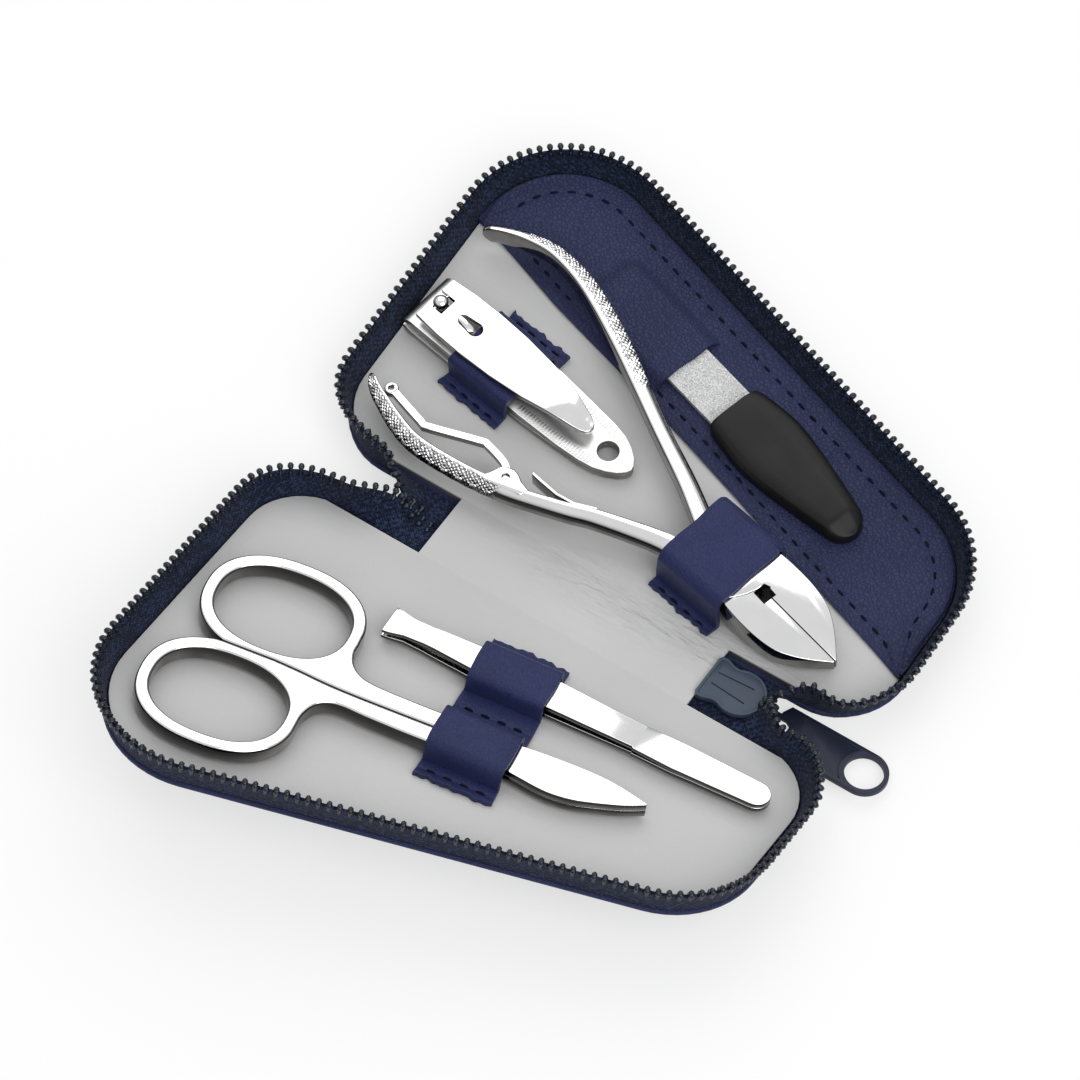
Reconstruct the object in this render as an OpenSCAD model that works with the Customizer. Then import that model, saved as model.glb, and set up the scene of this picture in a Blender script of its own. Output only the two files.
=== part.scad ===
// Manicure set case: a zipped leather case in two egg-shaped halves on a spine, with
// five chromed tools held in sewn leather loops. Millimetres, +Z up.
// Each half is drawn in its own flat frame: X along the spine towards the small end,
// Y outwards from the fold line, Z up from the lining. The back half lies on the table.

/* [Case] */
// Length of a half from the big end to the small end
half_len = 113.5; // [110:0.5:125]
// Depth of a half at the big end
big_depth = 69.5; // [67:0.5:78]
// Depth of a half at the small end
small_depth = 42.5; // [40:0.5:50]
// Radius of the far corner at the big end
big_corner_r = 17; // [13:0.5:22]
// Radius of the far corner at the small end
small_corner_r = 17; // [12:0.5:19]
// Radius of the two corners next to the spine
near_corner_r = 12; // [10:0.5:14]
// Width of the spine strip, which is also the depth inside the closed case
spine_w = 14; // [14:0.5:18]
// Length of the spine strip
spine_len = 57; // [50:0.5:60]
// Upward tilt of the spine at rest, and of the front half from the spine
rest_tilt = 7; // [4:0.5:9]

/* [Panels] */
// Thickness of the outer leather
cover_t = 1.2; // [1:0.1:1.6]
// Thickness of the stiffening board
board_t = 1.2; // [0.8:0.1:1.6]
// Thickness of the lining
lining_t = 0.6; // [0.4:0.1:1]
// Gap at each fold line
fold_gap = 0.3; // [0.2:0.05:0.5]

/* [Zip] */
// Thickness of the woven tape
tape_t = 0.6; // [0.5:0.05:0.8]
// Height of the tape above the lining
tape_h = 5.4; // [4.5:0.1:5.8]
// Outward lean of the tape over its height, at the far sides
tape_lean = 2.6; // [1.5:0.1:3.2]
// Spacing of the teeth along the tape
tooth_pitch = 1.9; // [1.7:0.05:2.4]
// Length of a tooth along the tape
tooth_len = 1.05; // [0.8:0.05:1.3]
// Gap between the two rows where the closed rims meet
rim_gap = 0.3; // [0.2:0.05:0.6]
// Length of the pull tab from its hinge
pull_len = 25; // [18:0.5:30]
// Width of the pull tab
pull_w = 9; // [7:0.5:9.4]

/* [Loops] */
// Thickness of the loop and pocket leather
loop_t = 0.9; // [0.7:0.05:1.1]
// Width of each loop along its tool
loop_w = 15; // [12:0.5:16]
// Clearance between a tool and its loop
loop_gap = 0.3; // [0.2:0.05:0.5]

/* [Scissors] */
// Length of the blades from the pivot
blade_len = 35; // [30:0.5:38]
// Distance from the pivot to the ring centres
ring_reach = 40; // [37:0.5:41]
// Width over one ring
ring_w = 24; // [22:0.2:24.4]
// Length over one ring
ring_l = 30; // [28:0.5:30.5]
// Thickness of each half at the pivot
blade_t = 1.5; // [1.2:0.1:1.8]

/* [Tweezers] */
// Length of the tweezers
tweezer_len = 76; // [70:0.5:77]
// Width of an arm at the loop
tweezer_w = 6.6; // [5.5:0.1:7]
// Thickness of an arm
tweezer_t = 1; // [0.8:0.1:1.3]

/* [Nippers] */
// Thickness of the nipper head
nipper_t = 7; // [6:0.2:7.2]
// Radius of the lap joint
nipper_joint_r = 7; // [6:0.1:7.2]
// Distance from the pivot to the tip of the jaws
jaw_len = 28.5; // [26:0.5:29]
// Depth of a half-round handle at its broadest
handle_t = 3.7; // [3.2:0.1:3.9]
// Height of a handle
handle_h = 4.6; // [4:0.1:4.8]

/* [Clippers] */
// Length of the clippers
clipper_len = 51.5; // [48:0.5:53]
// Width of the cutting edge
clipper_w = 11.8; // [10:0.2:12.5]
// Thickness of a clipper plate
clipper_t = 1.2; // [1:0.1:1.4]

/* [File] */
// Width of the file blade
file_w = 9.4; // [8:0.1:10]
// Length of the file blade from the handle
file_len = 34; // [28:0.5:38]
// Thickness of the file blade
file_t = 1; // [0.8:0.1:1.2]
// Length of the file handle
grip_len = 36; // [32:0.5:38]

/* [Hidden] */
panel_t = cover_t + board_t + lining_t;
board_top = -lining_t;
cover_top = -lining_t - board_t;
edge = fold_gap / 2;
rim_z = (spine_w - rim_gap) / 2;
tape_foot = 0.6;
margin = tape_foot + tape_t + 0.3;
tooth_clear = 0.1;
// where the tape leaves the spine ends and starts along the halves
flap_gap = 0.5;
right_flap = 14;
left_flap = 10;
wall_right = spine_len / 2 + right_flap + flap_gap;
wall_left = spine_len / 2 + left_flap + flap_gap;
flap_in = 4;
// the back half lies on the table with its fold line here
fold_y = -33;
arc_step = 9;

// ---------- frames ----------
module back_frame() translate([0, fold_y, panel_t]) children();
module spine_frame() back_frame() rotate([-rest_tilt, 0, 0]) translate([0, -spine_w / 2, 0]) children();
module front_frame()
    spine_frame() translate([0, -spine_w / 2, 0]) rotate([-rest_tilt, 0, 0]) mirror([0, 1, 0]) children();
module tool_frame(at, turn) translate([at[0], at[1], 0]) rotate([0, 0, turn]) children();

// ---------- outline of a half: stations [centre x, centre y, radius, direction] ----------
corners = [
    [half_len / 2 - near_corner_r, near_corner_r, near_corner_r],
    [half_len / 2 - small_corner_r, small_depth - small_corner_r, small_corner_r],
    [big_corner_r - half_len / 2, big_depth - big_corner_r, big_corner_r],
    [near_corner_r - half_len / 2, near_corner_r, near_corner_r]];
// outward direction of the straight side from one corner to the next
function side_dir(a, b) =
    let (d = [b[0] - a[0], b[1] - a[1]]) atan2(d[1], d[0]) - acos((a[2] - b[2]) / norm(d));
function turn_up(a, from) = a < from ? turn_up(a + 360, from) : a;
dirs = [-90,
    turn_up(side_dir(corners[0], corners[1]), -90),
    turn_up(side_dir(corners[1], corners[2]), 0),
    turn_up(side_dir(corners[2], corners[3]), 90),
    270];
function arc_of(c, a, b) =
    let (n = ceil((b - a) / arc_step)) [for (i = [0:n]) [c[0], c[1], c[2], a + (b - a) * i / n]];
stations = concat(
    [[wall_right, near_corner_r, near_corner_r, -90]],
    [for (k = [0:3]) for (s = arc_of(corners[k], dirs[k], dirs[k + 1])) s],
    [[-wall_left, near_corner_r, near_corner_r, 270]]);
function at_station(s, off) = [s[0] + (s[2] + off) * cos(s[3]), s[1] + (s[2] + off) * sin(s[3])];
// 0 by the spine, 1 along the far sides: how far the tape leans out
function lean_share(dir) =
    let (u = min(1, max(0, (min(dir + 90, 270 - dir) - 10) / 70))) u * u * (3 - 2 * u);
function outline(off) = concat(
    [for (s = stations) at_station(s, off)], [[-wall_left, edge], [wall_right, edge]]);
function panel_outline(off) = [for (s = stations) let (p = at_station(s, off)) [p[0], max(p[1], edge)]];

// a closed ring of points per height, joined and capped
module loft(rings) {
    n = len(rings[0]);
    polyhedron(
        points = [for (r = rings) for (p = r) p],
        faces = concat(
            [[for (i = [0:n - 1]) i]],
            [for (k = [0:len(rings) - 2]) for (i = [0:n - 1])
                [k * n + i, (k + 1) * n + i, (k + 1) * n + (i + 1) % n, k * n + (i + 1) % n]],
            [[for (i = [n - 1:-1:0]) (len(rings) - 1) * n + i]]));
}

// ---------- soft panels ----------
module cover_panel() color("#2d3055")
    loft([
        [for (p = outline(margin - 0.9)) [p[0], p[1], -panel_t]],
        [for (p = outline(margin - 0.25)) [p[0], p[1], -panel_t + 0.35]],
        [for (p = outline(margin)) [p[0], p[1], cover_top - 0.2]],
        [for (p = outline(margin)) [p[0], p[1], cover_top]]]);
module board_panel() color("#8a8378")
    translate([0, 0, cover_top]) linear_extrude(board_t) polygon(panel_outline(-0.1));
module lining_panel() color("#c4c4c6")
    translate([0, 0, board_top]) linear_extrude(lining_t) polygon(panel_outline(tape_foot - edge));

// tape section at a station, from its foot on the cover to its top edge
function tape_section(lean) = [
    [tape_foot, cover_top], [tape_foot + tape_t, cover_top],
    [tape_foot + tape_t + 0.1 * lean, 0], [tape_foot + tape_t + lean, tape_h],
    [tape_foot + lean, tape_h], [tape_foot + 0.1 * lean, 0]];
function section_at(s) = [for (q = tape_section(tape_lean * lean_share(s[3])))
    let (p = at_station(s, q[0])) [p[0], p[1], q[1]]];
module zip_tape() color("#1b2238") loft([for (s = stations) section_at(s)]);

// teeth: places at a steady pitch along the rim
rim_off = tape_foot + tape_t / 2;
function rim_pt(s) = at_station(s, rim_off + tape_lean * lean_share(s[3]));
rim = [for (s = stations) rim_pt(s)];
rim_run = [for (i = 0, l = 0; i < len(rim); i = i + 1, l = l + (i < len(rim) ? norm(rim[i] - rim[i - 1]) : 0)) l];
rim_len = rim_run[len(rim_run) - 1];
teeth_n = floor((rim_len - tooth_len) / tooth_pitch);
function run_at(l, i = 0) = i >= len(rim) - 2 || rim_run[i + 1] >= l ? i : run_at(l, i + 1);
function mix(a, b, t) = a + (b - a) * t;
module tooth_section(lean) {
    slope = 0.9 * lean / tape_h;
    in = tape_t / 2 + tooth_clear;
    drop = 0.8;
    polygon([
        [-in - slope * drop, tape_h - drop], [-in, tape_h + tooth_clear],
        [in, tape_h + tooth_clear], [in - slope * drop, tape_h - drop],
        [in + 0.45, tape_h - drop], [in + 0.5, tape_h + 0.5],
        [0.35, rim_z], [-0.35, rim_z],
        [-in - 0.5, tape_h + 0.5], [-in - 0.45 - slope * drop, tape_h - drop]]);
}
module zip_teeth() color("#0d1220")
    for (k = [0:teeth_n - 1])
        let (l = (rim_len - (teeth_n - 1) * tooth_pitch) / 2 + k * tooth_pitch,
             i = run_at(l), t = (l - rim_run[i]) / max(0.001, rim_run[i + 1] - rim_run[i]),
             p = mix(rim[i], rim[i + 1], t), dir = mix(stations[i][3], stations[i + 1][3], t))
        translate([p[0], p[1], 0]) rotate([90, 0, dir])
        translate([0, 0, -tooth_len / 2]) linear_extrude(tooth_len)
            tooth_section(tape_lean * lean_share(dir));

module back_cover() back_frame() cover_panel();
module back_board() back_frame() board_panel();
module back_lining() back_frame() lining_panel();
module back_zip_tape() back_frame() zip_tape();
module back_zip_teeth() back_frame() zip_teeth();
module front_cover() front_frame() cover_panel();
module front_board() front_frame() board_panel();
module front_lining() front_frame() lining_panel();
module front_zip_tape() front_frame() zip_tape();
module front_zip_teeth() front_frame() zip_teeth();

// ---------- spine ----------
module strip_panel(l, z, t) translate([-l / 2, edge - spine_w / 2, z]) cube([l, spine_w - fold_gap, t]);
module spine_cover() color("#2d3055") spine_frame() strip_panel(spine_len, -panel_t, cover_t);
module spine_board() color("#8a8378")
    spine_frame() strip_panel(spine_len - 2 * flap_in - fold_gap, cover_top, board_t);
module spine_lining() color("#c4c4c6") spine_frame() strip_panel(spine_len, board_top, lining_t);

// tape ends, sewn under the spine lining; their toothed edges part towards the halves
slit = 0.5;
slit_wide = spine_w / 2 - tape_foot - tape_t - 1.9;
slit_start = 1.2;
flap_z = cover_top;
module tape_end(l) linear_extrude(tape_t) polygon([
    [-flap_in, slit], [slit_start, slit], [l, slit_wide],
    [l, spine_w / 2 - edge - 0.2], [-flap_in, spine_w / 2 - edge - 0.2]]);
module both_ends(l) for (m = [0, 1]) mirror([0, m, 0]) translate([spine_len / 2, 0, flap_z]) children();
module zip_end_tapes() color("#1b2238") spine_frame() {
    both_ends() tape_end(right_flap);
    mirror([1, 0, 0]) both_ends() tape_end(left_flap);
}
flap_tooth_h = 1.2;
// a flat tooth clasps the tape edge from above and below
module flap_teeth(l, first) {
    ang = atan2(slit_wide - slit, l - slit_start);
    run = norm([slit_wide - slit, l - slit_start]);
    n = floor((run - tooth_len - first) / tooth_pitch);
    translate([slit_start, slit, tape_t / 2]) rotate([0, 0, ang])
        for (k = [0:n]) translate([first + k * tooth_pitch, 0, 0]) rotate([90, 0, 90])
            linear_extrude(tooth_len) polygon([
                [-0.3, -0.3], [-0.3, 0.3], [-tooth_clear, flap_tooth_h / 2], [0.7, flap_tooth_h / 2],
                [0.7, tape_t / 2 + tooth_clear / 2], [-0.05, tape_t / 2 + tooth_clear / 2],
                [-0.05, -tape_t / 2 - tooth_clear / 2], [0.7, -tape_t / 2 - tooth_clear / 2],
                [0.7, -flap_tooth_h / 2], [-tooth_clear, -flap_tooth_h / 2]]);
}
module zip_end_teeth() color("#0d1220") spine_frame() {
    both_ends() flap_teeth(right_flap, 1.2);
    mirror([1, 0, 0]) both_ends() flap_teeth(left_flap, 1.2);
}

// ---------- zip slider and pull tab ----------
slider_x0 = spine_len / 2 + 0.3;
slider_nose_x = slider_x0 + 6.2;
slider_nose_r = 4.4;
slider_len = slider_nose_x + slider_nose_r - slider_x0;
channel_lo = flap_z + tape_t / 2 - flap_tooth_h / 2 - 0.1;
channel_hi = flap_z + tape_t / 2 + flap_tooth_h / 2 + 0.1;
plate_in_t = 1.5;
plate_out_t = 0.9;
pin_r = 0.4;
pin_clear = 0.06;
pull_t = 1.2;
pull_x = slider_nose_x + slider_nose_r + 1.6;
pull_z = channel_lo - 0.45;
ear_gap = 0.15;
knuckle_w = 4.4;
ear_w = 0.9;
ear_r = 0.8;
// shield outline with a waist and a round nose
module slider_outline(grow = 0) {
    translate([slider_nose_x, 0]) circle(r = slider_nose_r + grow, $fn = 48);
    polygon([
        [slider_x0 - grow, -3.6 - grow], [slider_x0 + 0.6, -4.5 - grow],
        [slider_x0 + 2.2, -4.2 - grow], [slider_x0 + 3.6, -3.7 - grow], [slider_nose_x, -3.6],
        [slider_nose_x, 3.6], [slider_x0 + 3.6, 3.7 + grow], [slider_x0 + 2.2, 4.2 + grow],
        [slider_x0 + 0.6, 4.5 + grow], [slider_x0 - grow, 3.6 + grow]]);
}
module slider_body() color("#3c4757") spine_frame() difference() {
    union() {
        translate([0, 0, channel_hi]) linear_extrude(plate_in_t) slider_outline();
        translate([0, 0, channel_lo - plate_out_t]) linear_extrude(plate_out_t) slider_outline(-0.3);
        // wedge that parts the two rows of teeth
        translate([slider_nose_x + 2.4, 0, channel_lo - 0.3])
            cylinder(h = channel_hi - channel_lo + 0.6, r = 0.95, $fn = 32);
        // ears that carry the pin of the pull tab
        for (s = [-1, 1])
            translate([slider_nose_x + 1.6, s * (knuckle_w / 2 + ear_gap + ear_w / 2) - ear_w / 2,
                channel_lo - plate_out_t])
                cube([pull_x - slider_nose_x - 1.6, ear_w, plate_out_t]);
        for (s = [-1, 1])
            translate([pull_x, s * (knuckle_w / 2 + ear_gap + ear_w / 2) + ear_w / 2, pull_z])
                rotate([90, 0, 0]) cylinder(h = ear_w, r = ear_r, $fn = 32);
    }
    translate([pull_x, knuckle_w, pull_z]) rotate([90, 0, 0])
        cylinder(h = 2 * knuckle_w, r = pin_r, $fn = 32);
    // two shallow grooves and the dished face of the inner plate
    for (s = [-1, 1]) translate([slider_x0 + 1, s * 1.3, channel_hi + plate_in_t - 0.3])
        rotate([0, 0, s * 4]) cube([slider_len - 3.4, 0.3, 0.4]);
}
module pull_pin() color("#3c4757") spine_frame()
    translate([pull_x, knuckle_w / 2 + ear_gap + ear_w, pull_z]) rotate([90, 0, 0])
        cylinder(h = knuckle_w + 2 * ear_gap + 2 * ear_w, r = pin_r, $fn = 32);
// flat tab with a raised rim, an eye by the hinge and a round hole at its end
module pull_tab() color("#252d42") spine_frame() translate([pull_x, 0, pull_z]) difference() {
    hole_r = 3.6;
    end_x = pull_len - pull_w / 2;
    union() {
        translate([0, knuckle_w / 2, 0]) rotate([90, 0, 0]) cylinder(h = knuckle_w, r = pull_t / 2, $fn = 32);
        translate([0, -knuckle_w / 2, -pull_t / 2]) cube([3, knuckle_w, pull_t]);
        translate([0, 0, -pull_t / 2]) linear_extrude(pull_t) {
            polygon([[1.9, -2.6], [2.8, -pull_w / 2], [end_x, -pull_w / 2],
                [end_x, pull_w / 2], [2.8, pull_w / 2], [1.9, 2.6]]);
            translate([end_x, 0]) circle(d = pull_w, $fn = 64);
        }
    }
    translate([0, knuckle_w, 0]) rotate([90, 0, 0])
        cylinder(h = 2 * knuckle_w, r = pin_r + pin_clear, $fn = 32);
    translate([end_x, 0, -pull_t]) cylinder(h = 2 * pull_t, r = hole_r, $fn = 64);
    translate([1.5, 0, -pull_t]) linear_extrude(2 * pull_t)
        polygon([[0, -1.5], [1.8, -1.5], [3, -0.8], [3, 0.8], [1.8, 1.5], [0, 1.5]]);
    for (s = [0, 1]) mirror([0, 0, s]) translate([0, 0, pull_t / 2 - 0.3]) linear_extrude(0.4)
        difference() {
            translate([6, -pull_w / 2 + 0.9]) square([end_x - 6, pull_w - 1.8]);
            translate([end_x, 0]) circle(r = hole_r + 1.1, $fn = 64);
        }
}

// ---------- leather loops ----------
// a strip of leather of even thickness along a line of points
function strip_dir(p, i) = let (a = p[max(0, i - 1)], b = p[min(len(p) - 1, i + 1)]) (b - a) / norm(b - a);
function strip(p, t) = concat(
    [for (i = [0:len(p) - 1]) let (d = strip_dir(p, i)) p[i] + [d[1], -d[0]] * t / 2],
    [for (i = [len(p) - 1:-1:0]) let (d = strip_dir(p, i)) p[i] - [d[1], -d[0]] * t / 2]);
// middle line of one hump over a tool: from its near foot up, across and down
function hump(y0, y1, h, r) = let (z = loop_t / 2, top = h + loop_t / 2) concat(
    [[y0 - loop_t / 2, z]],
    [for (a = [180:-22.5:90]) [y0 - loop_t / 2 + r + r * cos(a), top - r + r * sin(a)]],
    [for (a = [90:-22.5:0]) [y1 + loop_t / 2 - r + r * cos(a), top - r + r * sin(a)]],
    [[y1 + loop_t / 2, z]]);
module loop_strip(line, w) rotate([90, 0, 90]) translate([0, 0, -w / 2])
    linear_extrude(w) polygon(strip(line, loop_t));
module foot(y0, y1, w) translate([-w / 2, y0, 0]) cube([w, y1 - y0, loop_t]);

// scissors and tweezers share one strip with two loops
scissor_at = [58.6 - half_len / 2, 34.8];
scissor_turn = -11;
scissor_lo = 1;
scissor_hi = scissor_lo + 2 * blade_t + 0.1;
shank_w = 7.4;
tweezer_end = [half_len / 2 - 4.15, 12.2];
tweezer_turn = -5.2;
tweezer_lo = 0.6;
tweezer_hi = tweezer_lo + 3.4;
loops_x = 2;
function line_y(at, turn, x) = at[1] + (x - at[0]) * tan(turn);
loops_turn = -8;
loop_tw_y = line_y(tweezer_end, tweezer_turn, loops_x);
loop_sc_y = line_y(scissor_at, scissor_turn, loops_x);
side_room = 0.7;
sc_half = shank_w / 2 + side_room;
tw_half = tweezer_w / 2 + side_room;
module tool_loops() color("#2b2f5c") front_frame() translate([loops_x, loop_tw_y, 0])
    rotate([0, 0, loops_turn]) {
        sc = (loop_sc_y - loop_tw_y) * cos(loops_turn);
        loop_strip(hump(-tw_half, tw_half, tweezer_hi + loop_gap, 1.3), loop_w);
        loop_strip(hump(sc - sc_half, sc + sc_half, scissor_hi + 0.5 + loop_gap, 1.7), loop_w);
        foot(-tw_half - loop_t - 3.6, -tw_half - loop_t / 2, loop_w);
        foot(tw_half + loop_t / 2, sc - sc_half - loop_t / 2, loop_w);
        foot(sc + sc_half + loop_t / 2, sc + sc_half + loop_t + 3.4, loop_w);
    }

// ---------- scissors ----------
screw_r = 1.4;
shaft_clear = 0.05;
ring_band = 2.5;
ring_h = 3.6;
ring_soft = 0.6;
seam_gap = 0.08;
ring_mid = (scissor_lo + scissor_hi) / 2;
// egg-shaped rings that meet along a seam; side = 1 is the half with its ring beyond the axis
function ring_at(side) = side > 0 ? [-ring_reach - 2, ring_w / 2 - 1.5] : [-ring_reach + 1.1, -ring_w / 2 - 0.3];
function sgn_pow(v, e) = sign(v) * pow(abs(v), e);
function egg(c, l, w, off) = [for (a = [0:6:354])
    c + [(l / 2 + off) * sgn_pow(cos(a), 0.87), (w / 2 + off) * sgn_pow(sin(a), 0.87)]];
seam = [[-60, -1.2], [-ring_reach + 4, -1.2], [-ring_reach + 9, -0.85], [-ring_reach + 14, -0.35], [-20, -0.1],
    [-9, 0]];
// web between the ring and the shank, g inside its outline
function web(side, g) = let (r = -ring_reach) side > 0
    ? [[-9, 3.7 - g], [-17, 3.4 - g], [r + 18.5, 3.1 - g], [r + 15.8 - g * 0.4, 3.7 - g * 0.8],
        [r + 14 - g * 0.7, 5.3 - g * 0.7], [r + 13 - g, 8], [r + 12.6 - g, 11], [r + 6, 12], [r - 4, 1.2],
        [r + 4, -1.2], [-9, 0]]
    : [[-9, -3.7 + g], [-18, -4.1 + g], [r + 18.7 - g * 0.3, -5.1 + g], [r + 16.8 - g * 0.8, -7 + g * 0.6],
        [r + 16 - g, -9.5], [r + 15.7 - g, -11.5], [r + 10, -12], [r + 2, -3], [r + 4, -1.2], [-9, 0]];
module handle_layer(side, z, h, g) translate([0, 0, z]) linear_extrude(h) difference() {
    union() {
        polygon(egg(ring_at(side), ring_l, ring_w, -g));
        polygon(web(side, g));
    }
    polygon(egg(ring_at(side), ring_l, ring_w, g - ring_band));
    polygon(concat([for (q = seam) q + [0, side * seam_gap]], [[-8.9, side * seam_gap], [-8.9, -side * 20],
        [-60, -side * 20]]));
}
// blade outline, g inside its back edge
function blade_line(side) = let (k = blade_len / 35, d = side > 0 ? 0.25 : 0)
    [[0, 3.7], [4, 3.4], [8 * k, 3.1], [12 * k, 3.7], [16 * k, 4.4], [19 * k, 4.6], [22.5 * k, 4.2], [26 * k, 3.2],
    [31.4 * k, 1.2 - d], [35 * k, -0.7 - d], [35 * k, -1 - d], [28.5 * k, -2.7], [22.4 * k, -3.3], [14 * k, -3.3],
    [8 * k, -3], [0, -3.6]];
module scissor_half(side, z0) {
    z1 = ring_mid - ring_h / 2;
    difference() {
        union() {
            handle_layer(side, z1, ring_soft, ring_soft);
            handle_layer(side, z1 + ring_soft, ring_h - 2 * ring_soft, 0);
            handle_layer(side, z1 + ring_h - ring_soft, ring_soft, ring_soft);
            // flat at the pivot and the blade, in its own layer
            translate([0, 0, z0]) linear_extrude(blade_t) {
                polygon([for (p = [[-9.5, 0.3], [-9.5, shank_w / 2], [-4, shank_w / 2 + 0.1], [0, 3.9], [0, -3.6],
                    [-5, -1.2]]) [p[0], side * p[1]]]);
                circle(r = 3.9, $fn = 48);
                polygon(blade_line(side));
            }
        }
        translate([0, 0, -1]) cylinder(h = 12, r = screw_r + (side > 0 ? 0 : shaft_clear), $fn = 48);
    }
}
module scissor_lower_half() color("#d9d9dc") front_frame() tool_frame(scissor_at, scissor_turn)
    scissor_half(1, scissor_lo);
module scissor_upper_half() color("#e2e2e4") front_frame() tool_frame(scissor_at, scissor_turn)
    scissor_half(-1, scissor_lo + blade_t + 0.1);
module scissor_screw() color("#c9c9cc") front_frame() tool_frame(scissor_at, scissor_turn) difference() {
    union() {
        translate([0, 0, scissor_lo]) cylinder(h = scissor_hi - scissor_lo + 0.05, r = screw_r, $fn = 48);
        translate([0, 0, scissor_hi + 0.05]) cylinder(h = 0.4, r1 = 2.4, r2 = 2.1, $fn = 48);
    }
    translate([-3, -0.3, scissor_hi + 0.2]) cube([6, 0.6, 1]);
}

// ---------- tweezers ----------
// along the arm from the joined round end to the flared tip
module tweezer_outline() {
    w = tweezer_w / 2;
    n = tweezer_len;
    polygon(concat(
        [for (a = [-90:15:90]) [-3 + 3 * cos(a), 2.7 * sin(a)]],
        [[-18, w - 0.1], [-26, w - 0.35], [-26, w - 0.6], [-44, w], [-50, w], [-n + 8, 2.2], [-n + 4, 2.3],
         [-n + 1.2, 3], [-n, 3.1], [-n, -3.1], [-n + 1.2, -3], [-n + 4, -2.3], [-n + 8, -2.2],
         [-50, -w], [-44, -w], [-26, -w + 0.6], [-26, -w + 0.35], [-18, -w + 0.1]]));
}
// side view: the arms spring apart from the joined end and bend in again at the tips
module tweezer_side(s) {
    n = tweezer_len;
    t = tweezer_t;
    polygon([for (p = [[1, 0.05], [-14, 0.05], [-26, 0.35], [-48, 0.7], [-n + 9, 0.75], [-n + 2, 0.35], [-n - 1, 0.3],
        [-n - 1, t * 0.7 + 0.3], [-n + 3, t * 0.8 + 0.4], [-n + 10, t + 0.7], [-48, t + 0.7], [-26, t + 0.35],
        [-25.6, t + 0.15], [-14, t + 0.05], [1, t + 0.05]]) [p[0], s * p[1]]]);
}
tweezer_mid = (tweezer_lo + tweezer_hi) / 2;
flex_gap = 0.1;
module tweezer_arm(s) translate([0, 0, tweezer_mid]) intersection() {
    translate([0, 0, -6]) linear_extrude(12) tweezer_outline();
    rotate([90, 0, 0]) translate([0, 0, -6]) linear_extrude(12) tweezer_side(s);
}
module tweezer_lower_arm() color("#d9d9dc") front_frame() tool_frame(tweezer_end, tweezer_turn)
    tweezer_arm(-1);
module tweezer_upper_arm() color("#e2e2e4") front_frame() tool_frame(tweezer_end, tweezer_turn)
    tweezer_arm(1);

// ---------- nippers ----------
nip_at = [19, 12.5];
nip_turn = -12.4;
nip_lo = 1;
nip_hi = nip_lo + nipper_t;
lap_z = (nip_lo + nip_hi) / 2;
lap_gap = 0.1;
nip_rivet_r = 2;
handle_z = nip_lo + (nipper_t - handle_h) / 2 + 0.4;
jaw_gap = 0.12;
// handle middle lines in the half's frame with their widths, from the joint to the tip
near_handle = [[17, 11.6, 1.16], [13, 9.8, 1.1], [6, 8.9, 0.95], [-4, 6.9, 0.83], [-9, 5.4, 0.78], [-15, 3.9, 0.75],
    [-21, 2.65, 0.75], [-28, 2, 0.75], [-36, 2, 0.75], [-41, 2.6, 0.75], [-45.5, 4.3, 0.73], [-49.5, 6.4, 0.62],
    [-52.5, 8.2, 0.5], [-54, 9.5, 0.38]];
far_handle = [[16.5, 14, 1.16], [13, 16.6, 1.1], [6, 22, 1], [-4, 28.8, 0.9], [-11.5, 34.2, 0.92], [-19, 39.6, 1],
    [-27.5, 45, 1], [-34, 48.2, 0.92], [-40.5, 49.9, 0.78], [-46, 49.6, 0.62], [-50, 48.6, 0.5], [-52.6, 47.4, 0.38]];
function to_tool(p, at, turn) = let (d = [p[0] - at[0], p[1] - at[1]])
    [d[0] * cos(turn) + d[1] * sin(turn), -d[0] * sin(turn) + d[1] * cos(turn)];
function side_pt(p, i, s) = let (d = strip_dir([for (q = p) [q[0], q[1]]], i))
    [p[i][0], p[i][1]] + [-d[1], d[0]] * s * p[i][2] / 2;
function in_tool(line) = [for (p = line) let (q = to_tool(p, nip_at, nip_turn)) [q[0], q[1], p[2] * handle_t]];
function across(p, i, u) = let (d = strip_dir([for (q = p) [q[0], q[1]]], i))
    [p[i][0], p[i][1]] + [-d[1], d[0]] * u * p[i][2];
// flat inside, round outside: layers that reach a share of the depth towards side out
handle_steps = [[0, 0.14, 0.62], [0.14, 0.32, 0.87], [0.32, 0.68, 1], [0.68, 0.86, 0.87], [0.86, 1, 0.62]];
module handle(line, out) for (q = handle_steps)
    translate([0, 0, handle_z + q[0] * handle_h]) linear_extrude((q[1] - q[0]) * handle_h) {
        p = in_tool(line);
        polygon(concat([for (i = [0:len(p) - 1]) across(p, i, out * (q[2] - 0.5))],
            [for (i = [len(p) - 1:-1:0]) across(p, i, -out * 0.5)]));
    }
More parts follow.
